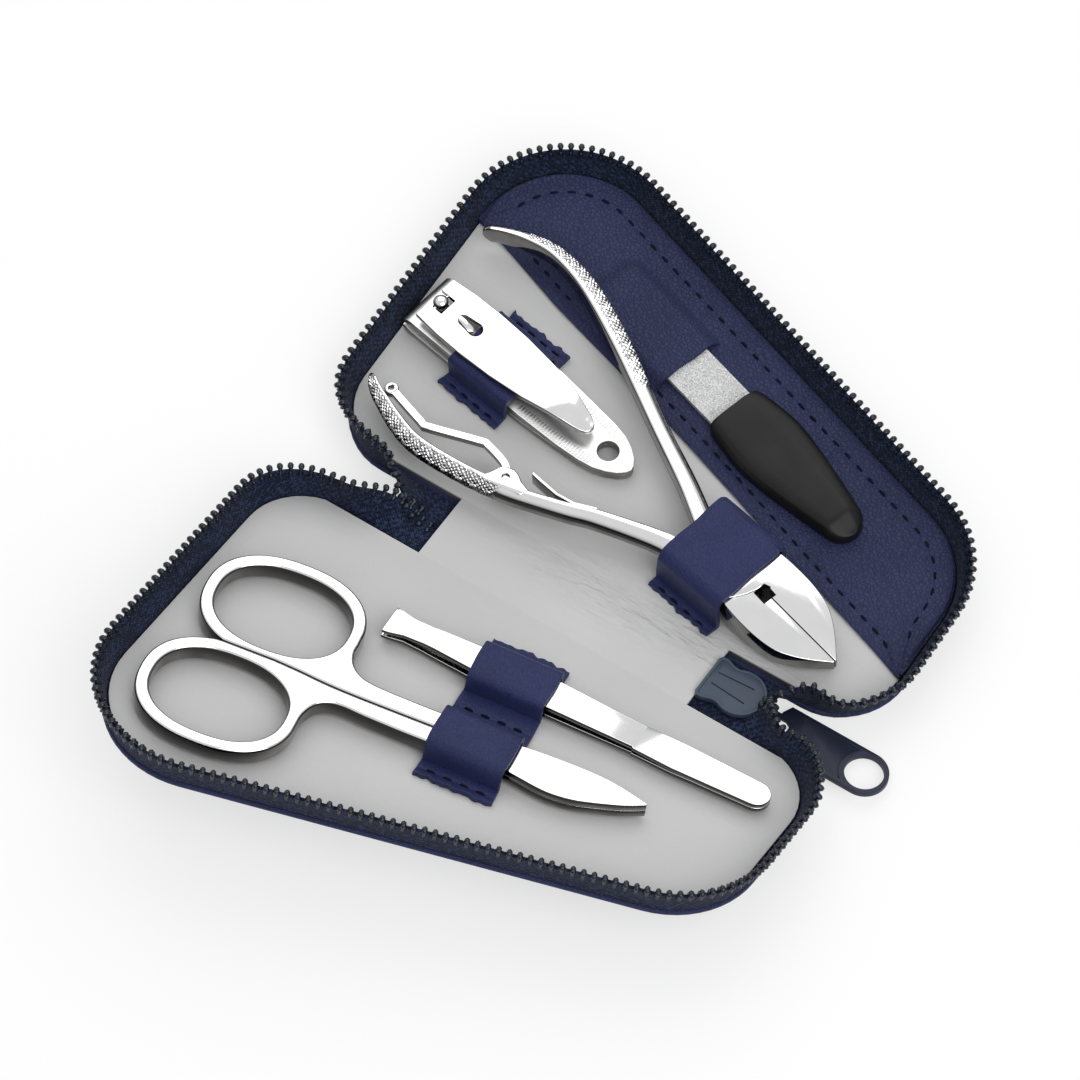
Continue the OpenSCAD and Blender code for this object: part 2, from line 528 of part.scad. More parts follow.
// half of the ogive head beyond the joint, on the +Y side
module jaw_outline(g) {
    r = nipper_joint_r - g;
    k = jaw_len / 28.5;
    polygon([[3, jaw_gap], [3, r - 0.8], [6, r], [11 * k, r + 0.5], [16 * k, r + 0.4], [20 * k, r - 0.4],
        [23 * k, r - 2], [25.5 * k - g * 0.4, r - 3.9], [27.5 * k - g * 0.8, r - 5.7], [28.5 * k - g, jaw_gap + 0.3],
        [28.5 * k - g, jaw_gap]]);
}
jaw_soft = 0.7;
module jaw_layer(z, h, g) translate([0, 0, z]) linear_extrude(h) jaw_outline(g);
module jaw(side) difference() {
    mirror([0, side > 0 ? 0 : 1]) {
        jaw_layer(nip_lo, jaw_soft, jaw_soft);
        jaw_layer(nip_lo + jaw_soft, nipper_t - 2 * jaw_soft, 0);
        jaw_layer(nip_hi - jaw_soft, jaw_soft, jaw_soft);
    }
    // small square window where the two edges start
    translate([9.6, -1.1, nip_lo - 1]) cube([2.2, 2.2, nipper_t + 2]);
    // underside hollow-ground towards the tip
    translate([12, -10, nip_lo - 3]) rotate([0, -9, 0]) cube([22, 20, 3]);
}
module lap_disc(z0, z1, r) translate([0, 0, z0]) cylinder(h = z1 - z0, r = r, $fn = 64);
// the half with the far jaw runs over the joint to the near handle
module nipper_upper_jaw_half() color("#dedee0") back_frame() tool_frame(nip_at, nip_turn) difference() {
    union() {
        difference() {
            jaw(1);
            lap_disc(nip_lo - 1, lap_z + lap_gap / 2, nipper_joint_r + lap_gap);
        }
        lap_disc(lap_z + lap_gap / 2, nip_hi, nipper_joint_r);
        difference() {
            handle(near_handle, 1);
            lap_disc(nip_lo - 1, lap_z + lap_gap / 2, nipper_joint_r + lap_gap);
        }
        ear();
    }
    // room in the handle for the lever's boss
    translate([ear_at[0], ear_at[1], lever_z - lever_wire - 0.1])
        cylinder(h = 2 * lever_wire + 0.2, r = 1.8, $fn = 32);
    translate([0, 0, nip_lo - 1]) cylinder(h = nipper_t + 2, r = nip_rivet_r + shaft_clear, $fn = 48);
    lever_bore();
}
module nipper_lower_jaw_half() color("#d2d2d5") back_frame() tool_frame(nip_at, nip_turn) difference() {
    union() {
        difference() {
            jaw(-1);
            lap_disc(lap_z - lap_gap / 2, nip_hi + 1, nipper_joint_r + lap_gap);
        }
        lap_disc(nip_lo, lap_z - lap_gap / 2, nipper_joint_r);
        difference() {
            handle(far_handle, -1);
            lap_disc(lap_z - lap_gap / 2, nip_hi + 1, nipper_joint_r + lap_gap);
        }
    }
    translate([0, 0, nip_lo - 1]) cylinder(h = nipper_t + 2, r = nip_rivet_r, $fn = 48);
}
module nipper_rivet() color("#c9c9cc") back_frame() tool_frame(nip_at, nip_turn)
    translate([0, 0, nip_lo]) cylinder(h = nipper_t, r = nip_rivet_r, $fn = 48);

// ear on the near handle, with the pin of the lock lever
ear_top = [-22.1, 4.9];
ear_at = to_tool(ear_top, nip_at, nip_turn);
lock_pin_r = 0.7;
lever_wire = 0.75;
lever_z = handle_z + handle_h / 2;
module ear() difference() {
    translate([0, 0, handle_z]) linear_extrude(handle_h) polygon([for (p = [[-26.4, 2.6], [-25.2, 4.2], [-24.2, 6.1],
        [-23.2, 6.9], [-21.4, 7], [-20.2, 6.5], [-19.1, 5.6], [-16.5, 4.6], [-18, 3], [-25, 2.2]])
        to_tool(p, nip_at, nip_turn)]);
    translate([ear_at[0], ear_at[1], lever_z - lever_wire - 0.1])
        cylinder(h = 2 * lever_wire + 0.2, r = 3.4, $fn = 32);
}
module lever_bore() translate([ear_at[0], ear_at[1], 0]) cylinder(h = 12, r = lock_pin_r, $fn = 32);
module nipper_lock_pin() color("#c9c9cc") back_frame() tool_frame(nip_at, nip_turn)
    translate([ear_at[0], ear_at[1], handle_z]) cylinder(h = handle_h, r = lock_pin_r, $fn = 32);
lever_line = [ear_top, [-24, 7.7], [-28.9, 9.5], [-30.8, 9.35], [-40, 6.85], [-41.6, 7], [-49.9, 9.9]];
module nipper_lock_lever() color("#e2e2e4") back_frame() tool_frame(nip_at, nip_turn)
    translate([0, 0, lever_z - lever_wire]) {
        pts = [for (p = lever_line) to_tool(p, nip_at, nip_turn)];
        difference() {
            union() {
                linear_extrude(2 * lever_wire) polygon(strip(pts, 2 * lever_wire));
                translate([ear_at[0], ear_at[1], 0]) cylinder(h = 2 * lever_wire, r = 1.4, $fn = 32);
                translate([pts[6][0], pts[6][1], 0]) cylinder(h = 2 * lever_wire, r = 1.3, $fn = 32);
            }
            translate([ear_at[0], ear_at[1], -1]) cylinder(h = 4, r = lock_pin_r + shaft_clear, $fn = 32);
            translate([pts[6][0], pts[6][1], -1]) cylinder(h = 4, r = 0.55, $fn = 32);
        }
    }
// thin leaf riveted flat on the near handle, its free end standing off it
module nipper_leaf_spring() color("#c9c9cc") back_frame() tool_frame(nip_at, nip_turn)
    translate([0, 0, handle_z + 0.6]) linear_extrude(handle_h - 1.2) {
        p = in_tool(near_handle);
        a = across(p, 3, -0.5);
        b = across(p, 4, -0.5);
        d = (b - a) / norm(b - a);
        n = [d[1], -d[0]];
        polygon([a + d * 0.5, a + d * 5, a + d * 8.4 + n * 1.1, a + d * 11.6 + n * 2.9, a + d * 13.6 + n * 4.1,
            a + d * 13.5 + n * 4.6, a + d * 11.4 + n * 3.4, a + d * 8.2 + n * 1.55, a + d * 4.8 + n * 0.5,
            a + d * 0.5 + n * 0.5]);
    }

// strap over the joint
module nipper_loop() color("#2b2f5c") back_frame() tool_frame(nip_at, nip_turn) {
    half = nipper_joint_r + side_room + 0.3;
    loop_strip(hump(-half, half, nip_hi + loop_gap, 2), loop_w);
    foot(-half - loop_t - 2.2, -half - loop_t / 2, loop_w);
    foot(half + loop_t / 2, half + loop_t + 0.6, loop_w);
}

// ---------- clippers ----------
clip_at = [5.15 - half_len / 2, 28.9];
clip_turn = -10.5;
clip_lo = 0.5;
// both plates share one outline: broad at the cutting edge, round at the tail
clip_front = 4.2;
clip_tail = clipper_len - clip_front;
post_r = 1.3;
module clip_outline() {
    w = clipper_w / 2;
    side = [[-clip_front, w], [clip_tail - 22.5, w + 0.1], [clip_tail - 14, w - 0.4], [clip_tail - 8.5, w - 0.9],
        [clip_tail - 5.5, w - 1.5], [clip_tail - 3.2, w - 2.5], [clip_tail - 1.4, w - 3.7],
        [clip_tail - 0.3, w - 5], [clip_tail, 0]];
    polygon(concat(side, [for (i = [len(side) - 2:-1:0]) [side[i][0], -side[i][1]]]));
}
module clip_cut(line) intersection() {
    translate([0, 0, -2]) linear_extrude(16) clip_outline();
    rotate([90, 0, 0]) translate([0, 0, -10]) linear_extrude(20) polygon(line);
}
ct = clipper_t;
tail_x = clip_tail - 13;
eye_r = 2.1;
clip_rivet_r = 1;
head_z = clip_lo + 4.6;
jaw_meet = clip_lo + 2.8;
jaw_open = 1.1;
module clipper_lower_jaw() color("#d9d9dc") back_frame() tool_frame(clip_at, clip_turn) difference() {
    clip_cut([[-clip_front + 0.6, clip_lo], [clip_tail + 1, clip_lo], [clip_tail + 1, clip_lo + ct],
        [-clip_front + 2.2, clip_lo + ct], [-clip_front + 0.9, jaw_meet - jaw_open - 0.05],
        [-clip_front + 0.2, jaw_meet - jaw_open], [-clip_front, jaw_meet - jaw_open - 0.4]]);
    translate([0, 0, -1]) cylinder(h = 4, r = post_r, $fn = 32);
    translate([clip_tail - 5.7, 0, -1]) cylinder(h = 6, r = eye_r, $fn = 48);
    translate([tail_x, 0, -1]) cylinder(h = 6, r = clip_rivet_r, $fn = 32);
}
module clipper_upper_jaw() color("#e2e2e4") back_frame() tool_frame(clip_at, clip_turn) difference() {
    clip_cut([[-clip_front, jaw_meet + 0.3], [-clip_front + 0.2, jaw_meet], [-clip_front + 0.8, jaw_meet + 0.1],
        [-clip_front + 2.4, head_z - ct], [6, head_z - ct], [tail_x, clip_lo + ct + 0.02],
        [clip_tail + 1, clip_lo + ct + 0.02], [clip_tail + 1, clip_lo + 2 * ct],
        [tail_x, clip_lo + 2 * ct], [6, head_z], [-clip_front + 1.8, head_z], [-clip_front + 0.6, head_z - 0.7]]);
    translate([0, 0, -1]) cylinder(h = 9, r = post_r + 0.25, $fn = 32);
    translate([clip_tail - 5.7, 0, -1]) cylinder(h = 6, r = eye_r, $fn = 48);
    translate([tail_x, 0, -1]) cylinder(h = 6, r = clip_rivet_r + 0.1, $fn = 32);
}
module clipper_rivet() color("#c9c9cc") back_frame() tool_frame(clip_at, clip_turn)
    translate([tail_x, 0, clip_lo]) cylinder(h = 2 * ct, r = clip_rivet_r, $fn = 32);
lever_lo = head_z + 1.45;
lever_t = 1.1;
axle_r = 0.32;
axle_z = lever_lo + lever_t / 2;
post_top = lever_lo + lever_t + 0.35;
module clipper_post() color("#c9c9cc") back_frame() tool_frame(clip_at, clip_turn) {
    translate([0, 0, clip_lo]) cylinder(h = post_top - clip_lo - 0.6, r = post_r - shaft_clear, $fn = 32);
    translate([0, 0, post_top - 0.6]) cylinder(h = 0.6, r1 = 1.6, r2 = 1.3, $fn = 32);
    translate([0, 3.4, axle_z]) rotate([90, 0, 0]) cylinder(h = 6.8, r = axle_r, $fn = 32);
}
lever_len = 37.5;
module clipper_lever() color("#f0f0f2") back_frame() tool_frame(clip_at, clip_turn) difference() {
    translate([0, 0, lever_lo]) linear_extrude(lever_t) {
        side = [[-1.6, 5.1], [4, 5.5], [9.8, 5.6], [17, 5.3], [24.3, 4.5], [31, 3.2], [lever_len - 1.7, 1.9],
            [lever_len - 0.4, 1.2], [lever_len, 0.6]];
        polygon(concat(side, [for (i = [len(side) - 1:-1:0]) [side[i][0], -side[i][1]]]));
    }
    // slot round the post and the pressed drop-shaped opening
    translate([-3, -1.9, lever_lo - 1]) cube([4.9, 3.8, 4]);
    translate([0, 4, axle_z]) rotate([90, 0, 0]) cylinder(h = 8, r = axle_r + shaft_clear, $fn = 32);
    translate([0, 0, lever_lo - 1]) linear_extrude(4) {
        translate([8.6, 0]) circle(r = 1.5, $fn = 32);
        polygon([[5, -1.1], [8.6, -1.5], [8.6, 1.5], [5, 1.1]]);
    }
}
module clipper_loop() color("#2b2f5c") back_frame() tool_frame(clip_at, clip_turn)
    translate([15.5, 0, 0]) {
        // the strap crosses the plates under the lever
        half = clipper_w / 2 + 0.3;
        top = head_z + 0.2;
        loop_strip(hump(-half, half, top, 1), loop_w - 1);
        foot(half + loop_t / 2, half + loop_t + 3.4, loop_w - 1);
        foot(-half - loop_t - 2.6, -half - loop_t / 2, loop_w - 1);
    }

// ---------- file and its pocket ----------
file_at = [3.4, 41.2];
file_turn = -17.5;
pocket_t = 0.7;
file_z = pocket_t + 0.1;
sleeve_t = 0.6;
slit_x = -12.6;
// leather sheet over the far part of the half, with a raised sleeve over the blade
function pocket_edge_y(x) = 30 - 0.333 * x;
module pocket_sheet() linear_extrude(pocket_t) intersection() {
    polygon(panel_outline(-0.3));
    polygon([[-80, pocket_edge_y(-80)], [80, pocket_edge_y(80)], [80, 90], [-80, 90]]);
}
module file_pocket() color("#282c57") back_frame() {
    pocket_sheet();
    tool_frame(file_at, file_turn) difference() {
        translate([0, 0, pocket_t]) linear_extrude(file_t + 0.15 + sleeve_t)
            sleeve_outline(1.6);
        translate([0, 0, pocket_t]) linear_extrude(file_t + 0.15) sleeve_outline(0.35);
        translate([slit_x, -12, pocket_t + 0.01]) cube([3, 24, 4]);
    }
}
module sleeve_outline(g) {
    w = file_w / 2 + g;
    x0 = -file_len - g;
    polygon([[slit_x + (g > 1 ? 0 : 1), -w], [slit_x + (g > 1 ? 0 : 1), w], [x0 + 4, w], [x0 + 1, w - 1.6],
        [x0, 1.4], [x0, -1.4], [x0 + 1, -w + 1.6], [x0 + 4, -w]]);
}
module file_blade() color("#9a9a9c") back_frame() tool_frame(file_at, file_turn)
    translate([0, 0, file_z]) linear_extrude(file_t) {
        w = file_w / 2;
        polygon([[9, -w + 1.5], [9, w - 1.5], [0, w], [-file_len + 4, w], [-file_len + 1, w - 1.6], [-file_len, 1.4],
            [-file_len, -1.4], [-file_len + 1, -w + 1.6], [-file_len + 4, -w], [0, -w]]);
    }
grip_h = 4.2;
module grip_outline(inset = 0) {
    e = grip_len - 3.4;
    polygon([[0.3 + inset, -5.7 + inset], [1.2, -6 + inset], [9.5, -7.1 + inset], [18, -6.3 + inset], [27, -4.7 + inset],
        [e, -3.4 + inset], [e, 3.4 - inset], [27, 4.7 - inset], [18, 6.3 - inset], [9.5, 7.1 - inset], [1.2, 6 - inset],
        [0.3 + inset, 5.7 - inset]]);
    translate([e, 0]) circle(r = 3.4 - inset, $fn = 40);
}
module file_handle() color("#2a2a2c") back_frame() tool_frame(file_at, file_turn) difference() {
    translate([0, 0, file_z - 0.05]) {
        linear_extrude(grip_h - 0.7) grip_outline();
        translate([0, 0, grip_h - 0.7]) linear_extrude(0.4) grip_outline(0.35);
        translate([0, 0, grip_h - 0.3]) linear_extrude(0.3) grip_outline(1);
    }
    // seat of the blade's tang
    translate([-1, -file_w / 2 - 0.02, file_z - 0.02]) cube([10.02, file_w + 0.04, file_t + 0.04]);
}

back_cover();
back_board();
back_lining();
back_zip_tape();
back_zip_teeth();
file_pocket();
nipper_loop();
clipper_loop();
spine_cover();
spine_board();
spine_lining();
zip_end_tapes();
zip_end_teeth();
slider_body();
pull_pin();
pull_tab();
front_cover();
front_board();
front_lining();
front_zip_tape();
front_zip_teeth();
tool_loops();
scissor_lower_half();
scissor_upper_half();
scissor_screw();
tweezer_lower_arm();
tweezer_upper_arm();
nipper_lower_jaw_half();
nipper_upper_jaw_half();
nipper_rivet();
nipper_leaf_spring();
nipper_lock_lever();
nipper_lock_pin();
clipper_lower_jaw();
clipper_upper_jaw();
clipper_rivet();
clipper_post();
clipper_lever();
file_blade();
file_handle();
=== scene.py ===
"""A zipped leather manicure case, open on its spine, with five chromed tools in it.

Sizes are in millimetres inside the classes; a piece goes into the shared frame, in metres,
when it is placed. Each half of the case has its own flat frame: X along the spine, Y outwards
from the fold line, Z up from the lining.
"""

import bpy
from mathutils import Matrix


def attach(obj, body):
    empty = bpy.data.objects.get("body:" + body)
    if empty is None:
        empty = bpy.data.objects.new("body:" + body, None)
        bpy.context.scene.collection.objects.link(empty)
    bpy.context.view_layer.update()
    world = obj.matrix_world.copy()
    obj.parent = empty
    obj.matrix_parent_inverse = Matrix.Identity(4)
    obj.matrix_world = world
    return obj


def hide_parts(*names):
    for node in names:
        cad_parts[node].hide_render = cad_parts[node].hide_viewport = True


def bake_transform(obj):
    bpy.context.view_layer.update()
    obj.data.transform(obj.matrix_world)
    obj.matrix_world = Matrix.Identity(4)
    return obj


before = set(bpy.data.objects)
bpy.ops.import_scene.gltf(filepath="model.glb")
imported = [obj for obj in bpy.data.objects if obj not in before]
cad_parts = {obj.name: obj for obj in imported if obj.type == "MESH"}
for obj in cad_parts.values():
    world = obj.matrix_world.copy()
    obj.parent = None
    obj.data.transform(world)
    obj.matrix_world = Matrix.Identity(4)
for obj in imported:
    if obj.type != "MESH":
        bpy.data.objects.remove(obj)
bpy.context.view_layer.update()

import logging
import math
import random
from dataclasses import dataclass, field
from enum import Enum
from typing import Callable, Iterable, Optional, Sequence

import bmesh
import bpy
from mathutils import Euler, Matrix, Vector

logging.basicConfig(level=logging.INFO, format="%(message)s")
LOG = logging.getLogger("manicure_case")

MM = 0.001
Point = tuple[float, float]
Line = Sequence[Point]
Obj = bpy.types.Object
Mesh = bmesh.types.BMesh
Shape = Callable[[float, float], Sequence[float]]


# ------------------------------------------------------------------ frames


class Place(Enum):
    """The flat frame that a piece is drawn in."""

    BACK = "back"
    SPINE = "spine"
    FRONT = "front"

    def matrix(self) -> Matrix:
        """The frame's matrix, from millimetres in the frame to metres in the row frame."""
        scale = Matrix.Scale(MM, 4)
        back = Matrix.Translation((0, Sizes.FOLD_Y, Sizes.PANEL))
        tilt = Matrix.Rotation(math.radians(-Sizes.TILT), 4, "X")
        if self is Place.BACK:
            return scale @ back
        if self is Place.SPINE:
            return scale @ back @ tilt @ Matrix.Translation((0, -Sizes.SPINE_W / 2, 0))
        mirror = Matrix.Scale(-1, 4, (0, 1, 0))
        return scale @ back @ tilt @ Matrix.Translation((0, -Sizes.SPINE_W, 0)) @ tilt @ mirror


class Sizes:
    """Sizes of the case that several pieces share, as in the part's source."""

    FOLD_Y = -33.0
    PANEL = 3.0
    TILT = 7.0
    SPINE_W = 14.0
    SPINE_L = 57.0
    COVER_TOP = -1.8
    LINING = 0.6
    TAPE_FOOT = 0.6
    TAPE_T = 0.6
    TAPE_H = 5.4
    LEAN = 2.6
    PITCH = 1.9
    MARGIN = 1.5


@dataclass(frozen=True)
class ToolSpot:
    """Where a tool lies in its half: its own origin and its turn in degrees."""

    x: float
    y: float
    turn: float

    def to_tool(self, x: float, y: float) -> Point:
        """Coordinates along and across the tool of a point of the panel."""
        a = math.radians(self.turn)
        dx, dy = x - self.x, y - self.y
        return (dx * math.cos(a) + dy * math.sin(a), -dx * math.sin(a) + dy * math.cos(a))

    def matrix(self) -> Matrix:
        """The tool's matrix inside its half's frame."""
        return (Matrix.Translation((self.x, self.y, 0))
                @ Matrix.Rotation(math.radians(self.turn), 4, "Z"))


SCISSORS = ToolSpot(1.85, 34.8, -11.0)
TWEEZERS = ToolSpot(52.6, 12.2, -5.2)
NIPPERS = ToolSpot(19.0, 12.5, -12.4)
CLIPPERS = ToolSpot(-51.6, 28.9, -10.5)
FILE = ToolSpot(3.4, 41.2, -17.5)


def smoothstep(t: float) -> float:
    """Smooth rise from 0 to 1 as t goes from 0 to 1."""
    t = min(1.0, max(0.0, t))
    return t * t * (3 - 2 * t)


def mix(a: float, b: float, t: float) -> float:
    """The value a share t of the way from a to b."""
    return a + (b - a) * t


def polar(x: float, y: float, r: float, degrees: float) -> Point:
    """The point at a distance and an angle from (x, y)."""
    return (x + r * math.cos(math.radians(degrees)), y + r * math.sin(math.radians(degrees)))


def circle(x: float, y: float, r: float, count: int = 40) -> Line:
    """Points of a circle."""
    turns = [2 * math.pi * i / count for i in range(count)]
    return [(x + r * math.cos(a), y + r * math.sin(a)) for a in turns]


def height_at(line: Line, x: float) -> float:
    """Height of a line of points at x; past its end, the height of the last point."""
    for (ax, ay), (bx, by) in zip(line, line[1:]):
        if x <= bx:
            return mix(ay, by, (x - ax) / (bx - ax))
    return line[-1][1]


def box(x0: float, y0: float, x1: float, y1: float) -> Line:
    """The corners of an upright rectangle."""
    return [(x0, y0), (x1, y0), (x1, y1), (x0, y1)]


def shade(colour: Sequence[float], share: float, more: float = 0.0) -> tuple[float, ...]:
    """A colour made lighter or darker."""
    return tuple(c * share + more for c in colour)


class Run:
    """A line of points, measured along its length."""

    def __init__(self, points: Sequence[Sequence[float]]) -> None:
        """Adds up the lengths of the line's stretches."""
        self.sums = [0.0]
        for a, b in zip(points, points[1:]):
            self.sums.append(self.sums[-1] + math.dist(a, b))
        self.total = self.sums[-1]

    def find(self, run: float) -> tuple[int, float]:
        """The stretch that a length from the start falls on, and the share of it passed."""
        i = 0
        while i < len(self.sums) - 2 and self.sums[i + 1] < run:
            i += 1
        return i, (run - self.sums[i]) / max(1e-6, self.sums[i + 1] - self.sums[i])


def curve(points: Sequence[Sequence[float]], step: float = 0.8) -> list[tuple[float, ...]]:
    """Points about a step apart on a smooth line through the given points.

    Args:
        points: places of any dimension; the first two numbers set the spacing.
        step: distance between two points of the result.
    """
    ends = [points[0], *points, points[-1]]
    made: list[tuple[float, ...]] = []
    for a, b, c, d in zip(ends, ends[1:], ends[2:], ends[3:]):
        n = max(1, round(math.dist(b[:2], c[:2]) / step))
        for i in range(n):
            t = i / n
            made.append(tuple(
                0.5 * (2 * q + (r - p) * t + (2 * p - 5 * q + 4 * r - s) * t * t
                       + (3 * q - p - 3 * r + s) * t ** 3) for p, q, r, s in zip(a, b, c, d)))
    made.append(tuple(points[-1]))
    return made


def egg(centre: Point, length: float, width: float, grow: float = 0.0,
        start: float = 0.0, stop: float = 360.0, count: int = 72) -> list[Point]:
    """Points of a full-shouldered oval, from one angle to another."""
    def side(value: float) -> float:
        return math.copysign(abs(value) ** 0.87, value)
    angles = [math.radians(mix(start, stop, i / count)) for i in range(count)]
    return [(centre[0] + (length / 2 + grow) * side(math.cos(a)),
             centre[1] + (width / 2 + grow) * side(math.sin(a))) for a in angles]


# ------------------------------------------------------------------ outline of a half


@dataclass(frozen=True)
class RimPoint:
    """A place on the rim of a half: a point of its outline and the way out from it."""

    x: float
    y: float
    direction: float

    def off(self, distance: float) -> Point:
        """The point that lies the given distance outside the outline."""
        return polar(self.x, self.y, distance, self.direction)

    @property
    def lean(self) -> float:
        """How far the tape leans out over its height here."""
        near = min(self.direction + 90, 270 - self.direction)
        return Sizes.LEAN * smoothstep((near - 10) / 70)


@dataclass(frozen=True)
class HalfPlan:
    """Plan of a half: an egg of four arcs with its flat side at the fold line."""

    length: float = 113.5
    big_depth: float = 69.5
    small_depth: float = 42.5
    far_r: float = 17.0
    near_r: float = 12.0
    wall_right: float = 43.0
    wall_left: float = 39.0

    def corners(self) -> list[tuple[float, float, float]]:
        """Centre and radius of each corner, anticlockwise from the near right one."""
        h = self.length / 2
        return [(h - self.near_r, self.near_r, self.near_r),
                (h - self.far_r, self.small_depth - self.far_r, self.far_r),
                (self.far_r - h, self.big_depth - self.far_r, self.far_r),
                (self.near_r - h, self.near_r, self.near_r)]

    def rim(self, step: float = 1.5) -> list[RimPoint]:
        """The rim from the right end of the fold round to the left end.

        Args:
            step: greatest distance between two points, in millimetres.
        """
        c = self.corners()
        turns = [-90.0]
        for (ax, ay, ar), (bx, by, br) in zip(c, c[1:]):
            length = math.hypot(bx - ax, by - ay)
            way = math.degrees(math.atan2(by - ay, bx - ax) - math.acos((ar - br) / length))
            while way < turns[-1]:
                way += 360
            turns.append(way)
        turns.append(270.0)
        points: list[RimPoint] = []

        def line(a: Point, b: Point, way: float) -> None:
            n = max(1, math.ceil(math.dist(a, b) / step))
            points.extend(RimPoint(mix(a[0], b[0], i / n), mix(a[1], b[1], i / n), way)
                          for i in range(n))

        end = (self.wall_right, 0.0)
        for (cx, cy, r), start, stop in zip(c, turns, turns[1:]):
            line(end, polar(cx, cy, r, start), start)
            n = max(1, math.ceil(math.radians(stop - start) * r / step))
            for i in range(n):
                a = mix(start, stop, i / n)
                points.append(RimPoint(*polar(cx, cy, r, a), a))
            end = polar(cx, cy, r, stop)
        line(end, (-self.wall_left, 0.0), 270.0)
        points.append(RimPoint(-self.wall_left, 0.0, 270.0))
        return points


PLAN = HalfPlan()


# ------------------------------------------------------------------ modelling


class Bench:
    """Makes and shapes meshes with Blender's own modelling operators."""

    @staticmethod
    def clear() -> None:
        """Leaves edit mode and deselects everything."""
        if bpy.context.object and bpy.context.object.mode != "OBJECT":
            bpy.ops.object.mode_set(mode="OBJECT")
        bpy.ops.object.select_all(action="DESELECT")

    @classmethod
    def pick(cls, piece: Obj) -> Obj:
        """Makes one object the selected and active one."""
        cls.clear()
        piece.select_set(True)
        bpy.context.view_layer.objects.active = piece
        return piece

    @classmethod
    def edit(cls, piece: Obj, work: Callable[[Mesh], None]) -> None:
        """Runs work on the mesh in edit mode.

        Args:
            piece: the object.
            work: gets the edit mesh; may also call mesh operators.
        """
        cls.pick(piece)
        bpy.ops.object.mode_set(mode="EDIT")
        bpy.ops.mesh.select_all(action="SELECT")
        mesh = bmesh.from_edit_mesh(piece.data)
        work(mesh)
        if mesh.is_valid:
            bmesh.update_edit_mesh(piece.data)
        bpy.ops.object.mode_set(mode="OBJECT")

    @classmethod
    def named(cls, name: str) -> Obj:
        """Names the new primitive and its mesh."""
        piece = bpy.context.object
        piece.name = name
        piece.data.name = name
        return piece

    @classmethod
    def surface(cls, name: str, across: int, along: int, shape: Shape,
                uv_size: Point = (1.0, 1.0), weld: bool = False) -> Obj:
        """A grid whose points are set by their place on it.

        Args:
            name: name of the piece.
            across: faces along u.
            along: faces along v.
            shape: gives the point for u and v, both from 0 to 1.
            uv_size: size of the UV map, in millimetres.
            weld: merges points that meet, for a closed form.
        """
        cls.clear()
        bpy.ops.mesh.primitive_grid_add(x_subdivisions=across, y_subdivisions=along, size=2)
        piece = cls.named(name)
        layer = piece.data.uv_layers.active.data
        for loop in piece.data.loops:
            co = piece.data.vertices[loop.vertex_index].co
            layer[loop.index].uv = ((co.x + 1) / 2 * uv_size[0], (co.y + 1) / 2 * uv_size[1])

        def work(mesh: Mesh) -> None:
            for v in mesh.verts:
                v.co = Vector(shape((v.co.x + 1) / 2, (v.co.y + 1) / 2))
            if weld:
                bmesh.update_edit_mesh(piece.data)
                bpy.ops.mesh.remove_doubles(threshold=0.002)

        cls.edit(piece, work)
        return piece

    @classmethod
    def plate(cls, name: str, outline: Sequence[Point], low: float, high: float) -> Obj:
        """A flat piece of the given outline, extruded from low to high."""
        cls.clear()
        bpy.ops.mesh.primitive_circle_add(vertices=len(outline), radius=1, fill_type="NGON")
        piece = cls.named(name)

        def work(mesh: Mesh) -> None:
            mesh.verts.ensure_lookup_table()
            for v, (x, y) in zip(mesh.verts, outline):
                v.co = (x, y, low)
            bmesh.update_edit_mesh(piece.data)
            bpy.ops.mesh.extrude_region_move(TRANSFORM_OT_translate={"value": (0, 0, high - low)})
            bpy.ops.mesh.select_all(action="SELECT")
            bpy.ops.mesh.normals_make_consistent(inside=False)

        cls.edit(piece, work)
        return piece

    @classmethod
    def modify(cls, piece: Obj, kind: str, **settings: object) -> Obj:
        """Adds a modifier, sets it and applies it.

        Args:
            piece: the object.
            kind: the modifier's type.
            settings: its properties.
        """
        cls.pick(piece)
        bpy.ops.object.modifier_add(type=kind)
        modifier = piece.modifiers[-1]
        for key, value in settings.items():
            setattr(modifier, key, value)
        bpy.ops.object.modifier_apply(modifier=modifier.name)
        return piece

    @classmethod
    def soften(cls, piece: Obj, width: float, segments: int = 3,
               angle: float = 32.0) -> Obj:
        """Rounds the sharp edges."""
        return cls.modify(piece, "BEVEL", width=width, segments=segments, limit_method="ANGLE",
                          angle_limit=math.radians(angle), use_clamp_overlap=True)

    @classmethod
    def cut(cls, piece: Obj, cutter: Obj) -> Obj:
        """Cuts one piece with another, which is then removed."""
        cls.modify(piece, "BOOLEAN", object=cutter, operation="DIFFERENCE", solver="EXACT")
        cls.pick(cutter)
        bpy.ops.object.delete()
        return piece

    @classmethod
    def punch(cls, piece: Obj, outline: Line, low: float, high: float) -> None:
        """Cuts an opening of the given outline, from low to high."""
        cls.cut(piece, cls.plate("opening", outline, low, high))

    @classmethod
    def outward(cls, piece: Obj, weld: float = 0.0) -> None:
        """Turns the faces outwards, after merging points that are nearer than weld."""
        def work(mesh: Mesh) -> None:
            if weld:
                bpy.ops.mesh.remove_doubles(threshold=weld)
            bpy.ops.mesh.normals_make_consistent(inside=False)

        cls.edit(piece, work)

    @classmethod
    def smooth(cls, piece: Obj, angle: float = 35.0) -> Obj:
        """Smooth shading, with edges sharper than the angle kept."""
        cls.pick(piece)
        bpy.ops.object.shade_smooth_by_angle(angle=math.radians(angle))
        return piece

